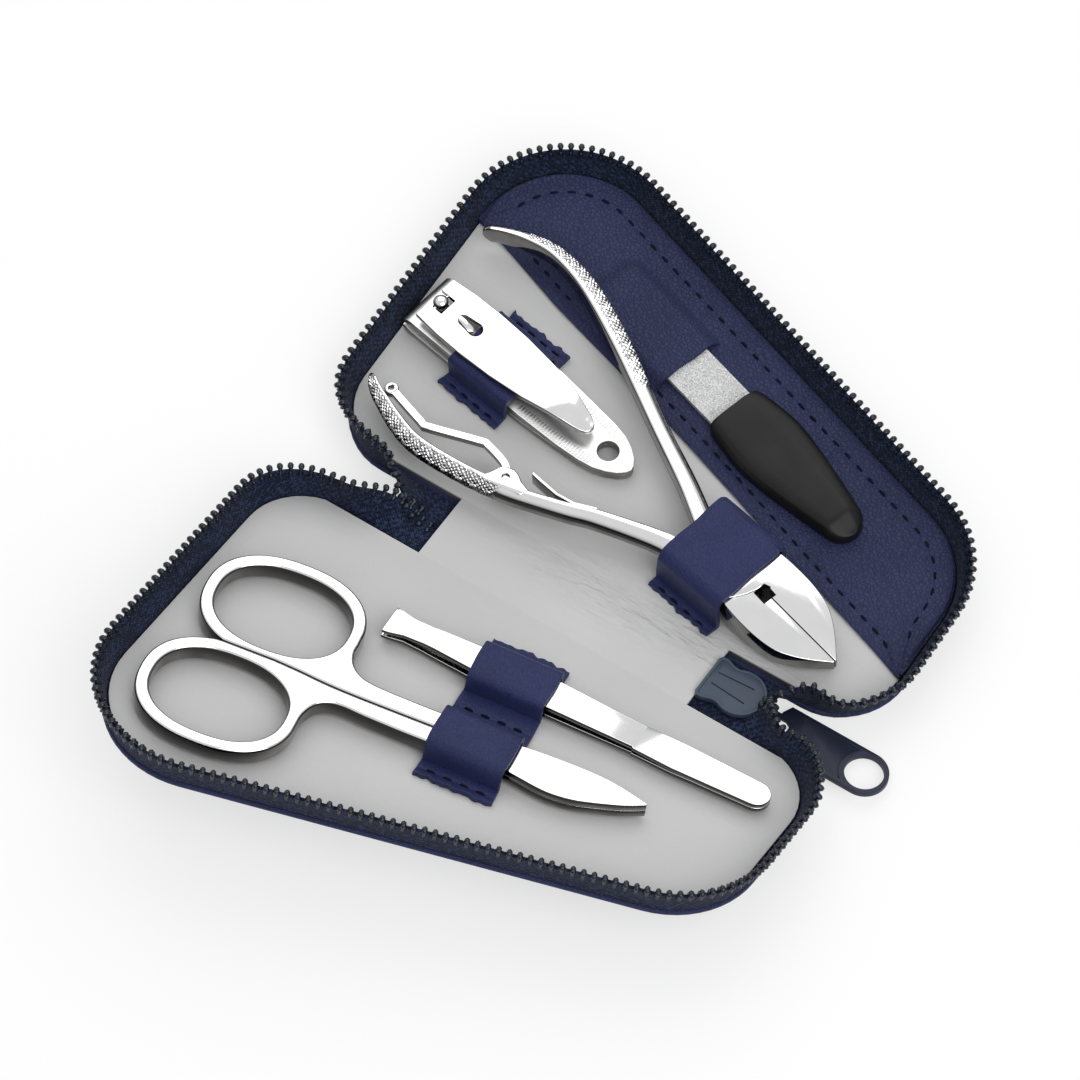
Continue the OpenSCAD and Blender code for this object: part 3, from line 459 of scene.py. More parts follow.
    @classmethod
    def join(cls, name: str, pieces: Sequence[Obj]) -> Obj:
        """Joins pieces into one mesh."""
        cls.clear()
        for p in pieces:
            p.select_set(True)
        bpy.context.view_layer.objects.active = pieces[0]
        if len(pieces) > 1:
            bpy.ops.object.join()
        return cls.named(name)

    @classmethod
    def copies(cls, name: str, model: Obj,
               places: Iterable[Matrix]) -> Obj:
        """One mesh of copies of a model, which is then removed.

        Args:
            name: name of the result.
            model: the piece that repeats.
            places: a matrix for each copy.
        """
        made = []
        for m in places:
            twin = model.copy()
            twin.data = model.data.copy()
            bpy.context.collection.objects.link(twin)
            twin.data.transform(m)
            made.append(twin)
        cls.pick(model)
        bpy.ops.object.delete()
        return cls.join(name, made)

    @classmethod
    def cad_copy(cls, name: str, *nodes: str) -> Obj:
        """A merged copy of CAD nodes, with flat areas made one face, in metres."""
        made = []
        for node in nodes:
            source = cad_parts[node]
            twin = bpy.data.objects.new(name, source.data.copy())
            bpy.context.collection.objects.link(twin)
            made.append(twin)
        piece = cls.join(name, made)
        piece.data.materials.clear()

        def work(mesh: Mesh) -> None:
            bpy.ops.mesh.remove_doubles(threshold=2e-6)
            bpy.ops.mesh.dissolve_limited(angle_limit=math.radians(0.6))

        cls.edit(piece, work)
        return piece


class Piece:
    """Puts finished meshes into the shared frame."""

    @staticmethod
    def place(piece: Obj, place: Place, inner: Optional[Matrix] = None) -> Obj:
        """Moves the mesh from its own frame into the row frame, with its faces outwards."""
        m = place.matrix() @ (inner or Matrix.Identity(4))
        piece.data.transform(m)
        if m.determinant() < 0:
            piece.data.flip_normals()
        piece.matrix_world = Matrix.Identity(4)
        return piece

    @staticmethod
    def dress(piece: Obj, finish: "Finish") -> Obj:
        """Gives the whole piece one material."""
        piece.data.materials.clear()
        piece.data.materials.append(finish.material())
        return piece

    @classmethod
    def hold(cls, piece: Obj, body: str, finish: "Finish",
             replaces: Sequence[str] = ()) -> Obj:
        """Dresses a piece, sets it on its body and hides the CAD nodes that it stands for."""
        cls.dress(piece, finish)
        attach(piece, body)
        if replaces:
            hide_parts(*replaces)
        return piece


    @classmethod
    def fit(cls, piece: Obj, angle: float, place: Place, inner: Optional[Matrix], body: str,
            finish: "Finish", replaces: Sequence[str] = ()) -> Obj:
        """Shades a piece smooth, places it and sets it on its body.

        Args:
            piece: the object, in millimetres of its own frame.
            angle: edges sharper than this stay sharp, in degrees.
            place: the half or the spine that it belongs to.
            inner: its place in that frame.
            body: name of its body.
            finish: its finish.
            replaces: the CAD nodes that it stands for.
        """
        Bench.smooth(piece, angle)
        cls.place(piece, place, inner)
        return cls.hold(piece, body, finish, replaces)


# ------------------------------------------------------------------ shader sums


class Value:
    """A shader socket that can be used in sums."""

    def __init__(self, shader: "Nodes", socket: bpy.types.NodeSocket) -> None:
        """Wraps a socket of a shader's node tree."""
        self.shader = shader
        self.socket = socket

    def _sum(self, operation: str, *terms: object) -> "Value":
        return self.shader.node("ShaderNodeMath", {"operation": operation}, dict(enumerate(terms)))

    def __add__(self, other: object) -> "Value":
        """Sum."""
        return self._sum("ADD", self, other)

    __radd__ = __add__

    def __sub__(self, other: object) -> "Value":
        """Difference."""
        return self._sum("SUBTRACT", self, other)

    def __rsub__(self, other: object) -> "Value":
        """Difference from a number."""
        return self._sum("SUBTRACT", other, self)

    def __mul__(self, other: object) -> "Value":
        """Product."""
        return self._sum("MULTIPLY", self, other)

    __rmul__ = __mul__

    def __truediv__(self, other: object) -> "Value":
        """Quotient."""
        return self._sum("DIVIDE", self, other)

    def __rtruediv__(self, other: object) -> "Value":
        """Quotient of a number."""
        return self._sum("DIVIDE", other, self)

    def sin(self) -> "Value":
        """Sine."""
        return self._sum("SINE", self)

    def abs(self) -> "Value":
        """Size without sign."""
        return self._sum("ABSOLUTE", self)

    def fract(self) -> "Value":
        """Part after the point."""
        return self._sum("FRACT", self)

    def low(self, other: object) -> "Value":
        """The smaller of two."""
        return self._sum("MINIMUM", self, other)

    def ramp(self, start: float, end: float) -> "Value":
        """Smooth rise from 0 to 1 between two values."""
        return self.shader.node(
            "ShaderNodeMapRange", {"interpolation_type": "SMOOTHSTEP"},
            {"Value": self, "From Min": start, "From Max": end})


class Nodes:
    """A node tree, made from Python expressions."""

    def __init__(self, tree: bpy.types.NodeTree) -> None:
        """Starts with an empty tree."""
        self.tree = tree
        tree.nodes.clear()

    def node(self, kind: str, settings: Optional[dict] = None,
             sockets: Optional[dict] = None, out: object = 0) -> Optional[Value]:
        """Adds a node.

        Args:
            kind: the node's type.
            settings: its properties, set first; "stops" are a ramp's (place, colour) pairs.
            sockets: values or links for its inputs, by name or number.
            out: the output that is returned, by name or number.

        Returns:
            The chosen output, or None for a node that has none.
        """
        made = self.tree.nodes.new(kind)
        for key, value in (settings or {}).items():
            if key == "stops":
                ramp = made.color_ramp
                while len(ramp.elements) < len(value):
                    ramp.elements.new(0.5)
                for element, (place, colour) in zip(ramp.elements, value):
                    element.position = place
                    element.color = (*colour, 1.0)
            else:
                setattr(made, key, value)
        for key, value in (sockets or {}).items():
            if isinstance(value, Value):
                self.tree.links.new(value.socket, made.inputs[key])
            else:
                target = made.inputs[key]
                target.default_value = (*value, 1.0) if (
                    target.type == "RGBA" and len(value) == 3) else value
        return Value(self, made.outputs[out]) if made.outputs else None

    def place(self, uv: bool = False) -> Value:
        """Object coordinates in metres, or the piece's own UV map in millimetres."""
        if uv:
            return self.node("ShaderNodeUVMap")
        return self.node("ShaderNodeTexCoord", out="Object")

    def parts(self, vector: Value) -> tuple[Value, Value, Value]:
        """The three numbers of a vector."""
        x = self.node("ShaderNodeSeparateXYZ", sockets={0: vector}, out=0)
        split = x.socket.node
        return x, Value(self, split.outputs[1]), Value(self, split.outputs[2])

    def noise(self, vector: Value, scale: float, detail: float = 2.0,
              rough: float = 0.5) -> Value:
        """Cloudy pattern from 0 to 1."""
        return self.node("ShaderNodeTexNoise", sockets={
            "Vector": vector, "Scale": scale, "Detail": detail, "Roughness": rough})

    def cells(self, vector: Value, scale: float, feature: str = "F1",
              out: str = "Distance") -> Value:
        """Cell pattern."""
        return self.node("ShaderNodeTexVoronoi", {"feature": feature},
                         {"Vector": vector, "Scale": scale}, out=out)

    def blend(self, share: Value, a: object, b: object) -> Value:
        """Colour between a and b."""
        node = self.node("ShaderNodeMix", {"data_type": "RGBA"}, {0: share}, out=2)
        made = node.socket.node
        for index, value in ((6, a), (7, b)):
            if isinstance(value, Value):
                self.tree.links.new(value.socket, made.inputs[index])
            else:
                made.inputs[index].default_value = (*value, 1.0)
        return node

    def bump(self, height: Value, distance: float, strength: float = 1.0,
             normal: Optional[Value] = None) -> Value:
        """Bump from a height; distance is in metres."""
        sockets: dict = {"Height": height, "Distance": distance, "Strength": strength}
        if normal:
            sockets["Normal"] = normal
        return self.node("ShaderNodeBump", sockets=sockets)


class Shader(Nodes):
    """A material's node tree."""

    def __init__(self, name: str) -> None:
        """Starts a material that holds one Principled shader."""
        self.material = bpy.data.materials.new(name)
        self.material.use_nodes = True
        super().__init__(self.material.node_tree)
        self.principled = self.node("ShaderNodeBsdfPrincipled")
        self.surface = self.principled.socket.node
        self.output = self.tree.nodes.new("ShaderNodeOutputMaterial")
        self.tree.links.new(self.principled.socket, self.output.inputs[0])

    def set(self, **values: object) -> None:
        """Sets or links sockets of the Principled shader; underscores stand for spaces."""
        for key, value in values.items():
            target = self.surface.inputs[key.replace("_", " ")]
            if isinstance(value, Value):
                self.tree.links.new(value.socket, target)
            elif target.type == "RGBA":
                target.default_value = (*value, 1.0)
            else:
                target.default_value = value


# ------------------------------------------------------------------ finishes


@dataclass(frozen=True)
class Finish:
    """A finish: its name, a slot name, and how its shader is made."""

    name: str
    slot: str

    def material(self) -> bpy.types.Material:
        """The material, made once."""
        found = bpy.data.materials.get(self.name)
        if found:
            return found
        shader = Shader(self.name)
        self.build(shader)
        return shader.material

    def build(self, s: Shader) -> None:
        """Fills the shader."""
        raise NotImplementedError


@dataclass(frozen=True)
class Leather(Finish):
    """Fine-grained leather."""

    colour: tuple[float, float, float] = (0.020, 0.025, 0.080)
    grain: float = 2100.0
    depth: float = 0.00006
    roughness: float = 0.5

    def build(self, s: Shader) -> None:
        """Pebbled grain with darker creases and slow changes of colour and gloss."""
        at = s.place()
        swirl = s.node("ShaderNodeTexNoise", sockets={"Vector": at, "Scale": 900.0}, out="Color")
        shift = s.node("ShaderNodeVectorMath", {"operation": "SCALE"}, {0: swirl, "Scale": 0.0005})
        warped = s.node("ShaderNodeVectorMath", {"operation": "ADD"}, {0: at, 1: shift})
        pebble = s.cells(warped, self.grain, "SMOOTH_F1")
        crease = s.cells(warped, self.grain * 0.55, "DISTANCE_TO_EDGE").ramp(0.0, 0.16)
        fine = s.noise(at, 5200.0, 3.0)
        cloud = s.noise(at, 60.0, 3.0)
        height = crease * 0.5 - pebble * 0.45 + fine * 0.25
        dark = shade(self.colour, 0.55)
        light = shade(self.colour, 1.35, 0.004)
        body = s.blend(cloud.ramp(0.25, 0.75), self.colour, light)
        s.set(Base_Color=s.blend((1.0 - crease) * 0.5 + pebble * 0.25, body, dark),
              Roughness=cloud * 0.1 + fine * 0.08 + (self.roughness - 0.09),
              Normal=s.bump(height, self.depth * 3.0, 0.55),
              Specular_IOR_Level=0.2, Sheen_Weight=0.03)


@dataclass(frozen=True)
class Lining(Finish):
    """Thin grey satin lining, crumpled where it crosses the folds."""

    colour: tuple[float, float, float] = (0.53, 0.53, 0.53)
    middle: float = -0.0355
    reach: float = 0.009

    def build(self, s: Shader) -> None:
        """Fine woven ground with faint rubs, and creases near the spine with painted shade in their
        hollows.
        """
        at = s.place()
        x, y, _ = s.parts(at)
        near = ((1.0 - (y - self.middle).abs().ramp(self.reach * 0.1, self.reach))
                * (x + 0.012).ramp(-0.012, 0.016))
        slant = s.node("ShaderNodeMapping", sockets={
            "Vector": at, "Rotation": (0, 0, 0.12), "Scale": (1.0, 3.4, 1.0)})
        crumple = s.noise(slant, 95.0, 3.0, 0.55)
        fold = s.cells(slant, 60.0, "SMOOTH_F1")
        wrinkle = (s.noise(slant, 170.0, 2.0, 0.5) - 0.5).abs().ramp(0.0, 0.2)
        nap = s.noise(at, 3000.0, 3.0, 0.6)
        rub = s.noise(at, 38.0, 3.0)
        tone = s.blend(rub.ramp(0.3, 0.75), shade(self.colour, 0.95), self.colour)
        # painted shade in the hollows of the crumples and wrinkles near the spine, added to the
        # nap's darker tone
        painted_crease_shade = (1.0 - crumple.ramp(0.3, 0.6)) * 0.16 + (1.0 - wrinkle) * 0.16
        nap_tone_and_crease_shade = nap.ramp(0.2, 0.8) * 0.12 + near * painted_crease_shade
        height = (crumple * 0.7 + fold * 0.6) * (near * 0.8 + 0.2)
        fine = s.bump(nap, 0.00005, 0.3)
        s.set(Base_Color=s.blend(nap_tone_and_crease_shade, tone, shade(self.colour, 0.72)),
              Roughness=0.58 - rub * 0.1,
              Normal=s.bump(wrinkle * near, 0.00022, 0.6, s.bump(height, 0.0014, 0.7, fine)),
              Sheen_Weight=0.1, Specular_IOR_Level=0.45)


@dataclass(frozen=True)
class Tape(Finish):
    """Woven zip tape: a twill that follows the piece's own UV map."""

    colour: tuple[float, float, float] = (0.012, 0.019, 0.046)
    pitch: float = 0.62

    def build(self, s: Shader) -> None:
        """Diagonal ribs, each of short floats, in two close blues."""
        u, v, _ = s.parts(s.place(uv=True))
        turn = 2 * math.pi / self.pitch
        rib = ((u + v) * turn).sin() * 0.5 + 0.5
        floats = ((u - v * 1.0) * (turn * 0.5) + rib * 1.2).sin() * 0.5 + 0.5
        fuzz = s.noise(s.place(), 3800.0, 3.0)
        knots = s.cells(s.place(uv=True), 2.5)
        speck, _, _ = s.parts(s.cells(s.place(uv=True), 2.5, out="Color"))
        height = rib * 0.5 + floats * 0.4 + fuzz * 0.3 + (1.0 - knots) * 0.6
        light = shade(self.colour, 2.6, 0.004)
        dark = shade(self.colour, 0.35)
        mottle = (rib * floats).ramp(0.1, 0.95) * 0.35 + speck.ramp(0.45, 1.0) * 0.6 + fuzz * 0.1
        s.set(Base_Color=s.blend(mottle, dark, light),
              Roughness=0.9 - rib * 0.12, Normal=s.bump(height, 0.00022, 0.8),
              Sheen_Weight=0.05, Specular_IOR_Level=0.12)


@dataclass(frozen=True)
class Moulded(Finish):
    """Moulded plastic or painted metal with a faint orange peel."""

    colour: tuple[float, float, float] = (0.010, 0.016, 0.034)
    roughness: float = 0.36
    peel: float = 0.00002
    metallic: float = 0.0
    coat: float = 0.0
    specular: float = 0.3

    def build(self, s: Shader) -> None:
        """Plain colour with slow changes, a fine peel and rubbed spots."""
        at = s.place()
        peel = s.noise(at, 1900.0, 2.0)
        rub = s.noise(at, 140.0, 4.0)
        light = shade(self.colour, 1.25, 0.003)
        s.set(Base_Color=s.blend(rub.ramp(0.35, 0.75), self.colour, light),
              Roughness=rub * 0.14 + (self.roughness - 0.07), Metallic=self.metallic,
              Normal=s.bump(peel, self.peel * 2, 0.4), Coat_Weight=self.coat,
              Specular_IOR_Level=self.specular)


@dataclass(frozen=True)
class Chrome(Finish):
    """Polished plate over ground steel; its side walls carry painted dark and light reflections."""

    colour: tuple[float, float, float] = (0.93, 0.93, 0.935)
    # painted dark reflection on the side walls, also the painted shade in the knurl's grooves
    wall: tuple[float, float, float] = (0.055, 0.053, 0.052)
    # painted lighter reflection of the lining, where the walls face sideways or down
    low_wall_lining_reflection: tuple[float, float, float] = (0.24, 0.235, 0.23)
    # share of painted shade in the knurl's grooves
    painted_groove_shade: float = 0.0
    pitch: float = 0.95
    roughness: float = 0.11
    turn: float = 0.0
    lines: float = 0.3

    def build(self, s: Shader) -> None:
        """Mirror with very fine grinding lines, hazed here and there, and painted reflections on
        its walls.
        """
        at = s.node("ShaderNodeMapping", sockets={
            "Vector": s.place(), "Rotation": (0, 0, math.radians(-self.turn)),
            "Scale": (60.0, 2200.0, 900.0)})
        lines = s.noise(at, 1.0, 2.0)
        haze = s.noise(s.place(), 190.0, 3.0)
        # colour by slope: tops keep the chrome's colour, steep walls get a painted dark reflection,
        # walls facing sideways or down a painted lighter reflection of the lining
        _, _, up = s.parts(s.node("ShaderNodeTexCoord", out="Normal"))
        top = up.ramp(0.5, 0.9)
        bright = s.blend(haze.ramp(0.3, 0.8), self.colour, shade(self.colour, 0.95))
        low = s.blend(haze.ramp(0.35, 0.65), self.low_wall_lining_reflection, shade(self.low_wall_lining_reflection, 1.5))
        side = s.blend(up.ramp(0.02, 0.3), low, self.wall)
        # painted shade in the grooves of the knurled field
        if self.painted_groove_shade:
            u, along, _ = s.parts(s.place(uv=True))
            around = (u * (40.0 / 12.0) - 5.0) * (8.6 / 34.0)
            left = 1.0 - (((along + around) / self.pitch).fract() * 2.0 - 1.0).abs()
            right = 1.0 - (((along - around) / self.pitch).fract() * 2.0 - 1.0).abs()
            groove_shade_mask = (1.0 - left.low(right) * 2.0).ramp(0.25, 0.95)
            field = (along.ramp(39.5, 41.0) * (1.0 - along.ramp(73.0, 74.5))
                     * around.ramp(0.3, 0.6) * (1.0 - around.ramp(7.0, 7.4)))
            bright = s.blend(groove_shade_mask * field * self.painted_groove_shade, bright, self.wall)
        s.set(Base_Color=s.blend(top, side, bright),
              Metallic=1.0, Roughness=haze * 0.06 + lines * 0.04 + (self.roughness - 0.05),
              Normal=s.bump(lines, 0.000005, self.lines))


@dataclass(frozen=True)
class Grit(Finish):
    """Steel coated with abrasive grains."""

    ground: tuple[float, float, float] = (0.38, 0.38, 0.385)
    grains: tuple[float, float, float] = (0.90, 0.90, 0.905)
    scale: float = 5600.0

    def build(self, s: Shader) -> None:
        """Bright grains set close over a grey ground."""
        at = s.place()
        grain = s.cells(at, self.scale)
        tone = s.cells(at, self.scale, out="Color")
        bright, _, _ = s.parts(tone)
        cloud = s.noise(at, 500.0, 3.0)
        s.set(Base_Color=s.blend(bright * 0.75 + cloud * 0.25, self.ground, self.grains),
              Metallic=0.35, Roughness=0.62 - bright * 0.2,
              Normal=s.bump(1.0 - grain, 0.00012, 0.9))


LEATHER = Leather("case_leather", "leather")
STRAP = Leather("strap_leather", "loop_leather", colour=(0.016, 0.022, 0.082), grain=3200.0,
                depth=0.00004, roughness=0.40)
POCKET = Leather("pocket_leather", "loop_leather", colour=(0.018, 0.023, 0.070), grain=2300.0,
                 depth=0.00012, roughness=0.44)
LINING = Lining("grey_lining", "lining")
TAPE = Tape("zip_tape_weave", "zip_tape")
TOOTH = Moulded("zip_tooth", "zip_teeth", colour=(0.006, 0.010, 0.018), roughness=0.22,
                specular=0.5)
SLIDER = Moulded("slider_paint", "slider", colour=(0.040, 0.056, 0.086), roughness=0.36, coat=0.05)
PULL = Moulded("pull_paint", "pull", colour=(0.013, 0.018, 0.037), roughness=0.38, coat=0.05)
GRIP = Moulded("grip_plastic", "grip", colour=(0.0085, 0.0085, 0.0088), roughness=0.34,
               specular=0.22)
THREAD = Moulded("sewing_thread", "loop_leather", colour=(0.003, 0.004, 0.014), roughness=0.7,
                 specular=0.1)
BOARD = Lining("grey_board", "board", colour=(0.06, 0.06, 0.075))
CHROME = Chrome("polished_chrome", "chrome")
# knurled chrome, with painted shade in its grooves
KNURLED = Chrome("knurled_chrome", "chrome", painted_groove_shade=0.8)
SATIN = Chrome("satin_chrome", "chrome", roughness=0.34, lines=0.5)
GRIT = Grit("file_grit", "steel")


# ------------------------------------------------------------------ soft panels


@dataclass
class SoftPanels:
    """Leather outside and lining inside, each one sheet from a half to the middle of the spine."""

    strip_half: float = Sizes.SPINE_L / 2
    bend: float = 2.2

    def outline(self, margin: float, near: float, mid: float) -> list[Point]:
        """Outline of a half and its part of the spine.

        Args:
            margin: how far the sheet goes outside the rim.
            near: how far beyond the fold line its edge lies beside the corners.
            mid: how far beyond the fold line it reaches on the spine.
        """
        h = self.strip_half
        rim = [p.off(margin) for p in PLAN.rim(2.0)]
        start = min(near, 0.2)

        def shoulder(end: float, shares: Sequence[float]) -> Line:
            return [(mix(h, end, t), mix(start, near, smoothstep(t))) for t in shares]

        right = shoulder(PLAN.wall_right, (0, 0.25, 0.5, 0.75))
        left = [(-x, y) for x, y in shoulder(PLAN.wall_left, (0.75, 0.5, 0.25, 0))]
        rim = [(x, max(y, near)) for x, y in rim]
        return [(h, mid), *right, *rim, *left, (-h, mid)]

    def bent(self, piece: Obj) -> None:
        """Tilts the part beyond the fold line with the spine, by the rest angle."""
        tilt = math.radians(Sizes.TILT)
        for v in piece.data.vertices:
            a = -tilt * (1 - smoothstep((v.co.y + self.bend) / (2 * self.bend)))
            x, y, z = v.co
            v.co = (x, y * math.cos(a) - z * math.sin(a), y * math.sin(a) + z * math.cos(a))

    def slices(self, piece: Obj) -> None:
        """Cuts edge loops across the bend of the sheet."""
        def work(mesh: Mesh) -> None:
            for i in range(11):
                bpy.ops.mesh.select_all(action="SELECT")
                bpy.ops.mesh.bisect(plane_co=(0, i * 0.44 - self.bend, 0), plane_no=(0, 1, 0))

        Bench.edit(piece, work)

    def sheet(self, name: str, side: Place, margin: float, near: float, low: float, high: float,
              round_by: float) -> Obj:
        """One sheet of a half, from its rim to the middle of the spine."""
        outline = self.outline(margin, near, -Sizes.SPINE_W / 2 - 1.0)
        piece = Bench.plate(name, outline, low, high)
        Bench.soften(piece, round_by, 3, 60)

        def trim(mesh: Mesh) -> None:
            bpy.ops.mesh.bisect(plane_co=(0, -Sizes.SPINE_W / 2, 0), plane_no=(0, 1, 0),
                                use_fill=True, clear_inner=True)

        Bench.edit(piece, trim)
        self.slices(piece)
        self.bent(piece)
        Bench.smooth(piece, 30)
        return Piece.place(piece, side)

    def build(self) -> None:
        """Makes both leathers and both linings."""
        for side, body in ((Place.BACK, "back_half"), (Place.FRONT, "front_half")):
            word = side.value
            cover = self.sheet(f"{word}_leather", side, Sizes.MARGIN, -Sizes.MARGIN, -Sizes.PANEL,
                               Sizes.COVER_TOP, 0.5)
            lining = self.sheet(f"{word}_grey_lining", side, 0.45, 0.2, -Sizes.LINING, 0.0, 0.12)
            for piece, finish, nodes in (
                    (cover, LEATHER, [f"{word}_cover"]), (lining, LINING, [f"{word}_lining"])):
                Piece.dress(piece, finish)
                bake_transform(piece)
                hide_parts(*nodes)
        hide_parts("spine_cover")
        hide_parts("spine_lining")
        for node in ("back_board", "front_board", "spine_board"):
            Piece.dress(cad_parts[node], BOARD)
        LOG.info("soft panels: leather and lining of both halves")


# ------------------------------------------------------------------ zip


@dataclass
class Zip:
    """Zip tape and teeth of one half, with its two ends that lie flat on the spine."""

    side: Place
    body: str
    turn_start: float = 36.0
    turn_end: float = 47.0
    hold_end: float = 40.0
    lean_start: float = 46.0
    lean_end: float = 53.0
    seam: float = 50.0
    left_start: float = 30.0
    left_end: float = 46.0
    slider_end: float = 38.8
    bare_end: float = 31.5
    foot: float = Sizes.TAPE_FOOT + Sizes.TAPE_T / 2
    low: float = Sizes.COVER_TOP + 0.3
    width: float = Sizes.TAPE_H - Sizes.COVER_TOP - 0.3

    def line(self) -> list[tuple[float, float, float, float, float]]:
        """Places along the tape: x, y of the foot, way out, lean, and share upright.

        Returns:
            One entry about each millimetre, from the right end round to the left.
        """
        places = []
        x = Sizes.SPINE_L / 2 - 4.0
        while x < PLAN.wall_right:
            places.append((x, -self.foot, -90.0, self.end_lean(x), self.share(x)))
            x += 1.0
        for p in PLAN.rim(1.0):
            fx, fy = p.off(self.foot)
            lean = max(p.lean, self.end_lean(fx)) if p.y < 20 else p.lean
            places.append((fx, fy, p.direction, lean, self.share(fx) if p.y < 20 else 1.0))
        x = -PLAN.wall_left + 0.5
        while x < -Sizes.SPINE_L / 2 + 4.0:
            places.append((x, -self.foot, 270.0, 0.0, self.share(x)))
            x += 1.0
        return places

    def end_lean(self, x: float) -> float:
        """How far the tape leans out by the open end of the zip, at x."""
        share = (x - self.lean_start) / (self.lean_end - self.lean_start)
        return 0.9 * Sizes.LEAN * smoothstep(share)

    def share(self, x: float) -> float:
        """How far the tape has turned from flat, 0, to upright, 1, at x."""
        if x > 0:
            return smoothstep((x - self.turn_start) / (self.turn_end - self.turn_start))
        return smoothstep((-x - self.left_start) / (self.left_end - self.left_start))

    def at(self, place: tuple[float, float, float, float, float], v: float,
           out: float = 0.0) -> Vector:
        """A point of the tape.

        Args:
            place: an entry of line().
            v: distance from the foot, along the tape's width.
            out: distance from its middle, towards its outer face.
        """
        x, y, way, lean, up = place
        a = math.radians(way)
        flat = math.radians(90 + 90 - Sizes.TILT)
        angle = mix(flat, math.radians(90), up)
        # the tape's own direction, in the plane of the way out and up
        tilt = math.atan2(lean, self.width) * min(1.0, max(0.0, v / self.width) ** 0.35)
        ly, lz = -math.cos(angle), math.sin(angle)
        ly += math.sin(tilt) * up
        n = math.hypot(ly, lz)
        ly, lz = ly / n, lz / n
        px = ly * v + lz * out
        pz = lz * v - ly * out + self.low
        return Vector((x + math.cos(a) * px, y + math.sin(a) * px, pz))

    def ribbon(self, name: str, places: list) -> Obj:
        """A stretch of tape with its weave laid along it."""
        n = len(places) - 1
        runs = Run([p[:2] for p in places]).sums

        def shape(u: float, v: float) -> Vector:
            return self.at(places[min(n, round(u * n))], v * self.width)

        piece = Bench.surface(name, n, 8, shape, (runs[-1], self.width))
        layer = piece.data.uv_layers.active.data
        for loop in piece.data.loops:
            uv = layer[loop.index].uv
            i = min(n, round(uv[0] / runs[-1] * n))
            layer[loop.index].uv = (runs[i], uv[1])
        Bench.modify(piece, "SOLIDIFY", thickness=Sizes.TAPE_T, offset=0.0)
        Bench.smooth(piece, 50)
        return piece

    def tooth(self) -> Obj:
        """One tooth: a round head on a neck whose foot clasps the tape's edge."""
        Bench.clear()
        bpy.ops.mesh.primitive_uv_sphere_add(segments=8, ring_count=8, radius=1.0)
        piece = Bench.named("tooth")
        # height, half width across the tape and along it, from foot to crown
        rings = [(-1.05, 0.0, 0.0), (-0.98, 0.62, 0.40), (-0.62, 0.96, 0.54), (-0.15, 0.64, 0.36),
                 (0.3, 0.56, 0.34), (0.8, 0.84, 0.6), (1.15, 0.76, 0.56), (1.42, 0.42, 0.34),
                 (1.47, 0.0, 0.0)]

        def work(mesh: Mesh) -> None:
            for v in mesh.verts:
                ring = round((math.asin(max(-1, min(1, v.co.z))) / math.pi + 0.5) * 8)
                z, across, along = rings[ring]
                r = math.hypot(v.co.x, v.co.y)
                x, y = (v.co.x / r, v.co.y / r) if r > 1e-4 else (0.0, 0.0)
                v.co = (x * across, y * along, z)

        Bench.edit(piece, work)
        Bench.smooth(piece, 80)
        return piece

    def teeth(self, name: str, places: list) -> Obj:
        """Teeth along a stretch of tape."""
        tops = [self.at(p, self.width) for p in places]
        run = Run(tops)
        count = int(run.total / Sizes.PITCH)
        spots = []
        for k in range(count):
            i, t = run.find((k + 0.5) * run.total / count)
            here = tuple(mix(a, b, t) for a, b in zip(places[i], places[i + 1]))
            top = self.at(here, self.width)
            up = (top - self.at(here, self.width - 1.0)).normalized()
            along = (tops[i + 1] - tops[i]).normalized()
            side = along.cross(up).normalized()
            along = up.cross(side).normalized()
            m = Matrix((side, along, up)).transposed().to_4x4()
            spots.append(Matrix.Translation(top) @ m)
        return Bench.copies(name, self.tooth(), spots)

    def build(self) -> None:
        """Makes the wall, its two turning ends and their teeth."""
        word = self.side.value
        line = self.line()
        middle = len(line) // 2
        first = next(i for i, p in enumerate(line) if p[0] >= self.seam)
        last = next(i for i in range(len(line) - 1, middle, -1) if line[i][0] <= -self.seam)
        stretches = {
            "right_end": line[:first + 1], "wall": line[first:last + 1], "left_end": line[last:]}
        for part, places in stretches.items():
            tape = Piece.place(self.ribbon(f"{word}_tape_{part}", places), self.side)
            if part == "right_end":
                places = [p for p in places if p[0] > self.slider_end]
            elif part == "left_end" and self.side is Place.FRONT:
                places = [p for p in places if p[0] < -self.bare_end]
            teeth = Piece.place(self.teeth(f"{word}_teeth_{part}", places), self.side)
            for piece, finish in ((tape, TAPE), (teeth, TOOTH)):
                Piece.dress(piece, finish)
                if part == "wall":
                    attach(piece, self.body)
                    continue
                m = self.side.matrix()
                right = part == "right_end"
                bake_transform(piece)
            if part == "wall":
                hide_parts(f"{word}_zip_tape")
                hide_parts(f"{word}_zip_teeth")
            elif self.side is Place.BACK and part == "right_end":
                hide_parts("zip_end_tapes")
                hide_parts("zip_end_teeth")
        LOG.info("zip of the %s half: tape and teeth", word)


@dataclass(frozen=True)
class SoftNode:
    """A part that keeps its CAD shape, with rounded edges."""

    node: str
    body: str
    finish: Finish
    round_by: float

    def build(self) -> None:
        """Copies the shape, softens it and puts it in the node's place."""
        piece = Bench.cad_copy(f"soft_{self.node}", self.node)
        Bench.soften(piece, self.round_by * MM)
        Bench.smooth(piece, 40)
        Piece.hold(piece, self.body, self.finish, [self.node])


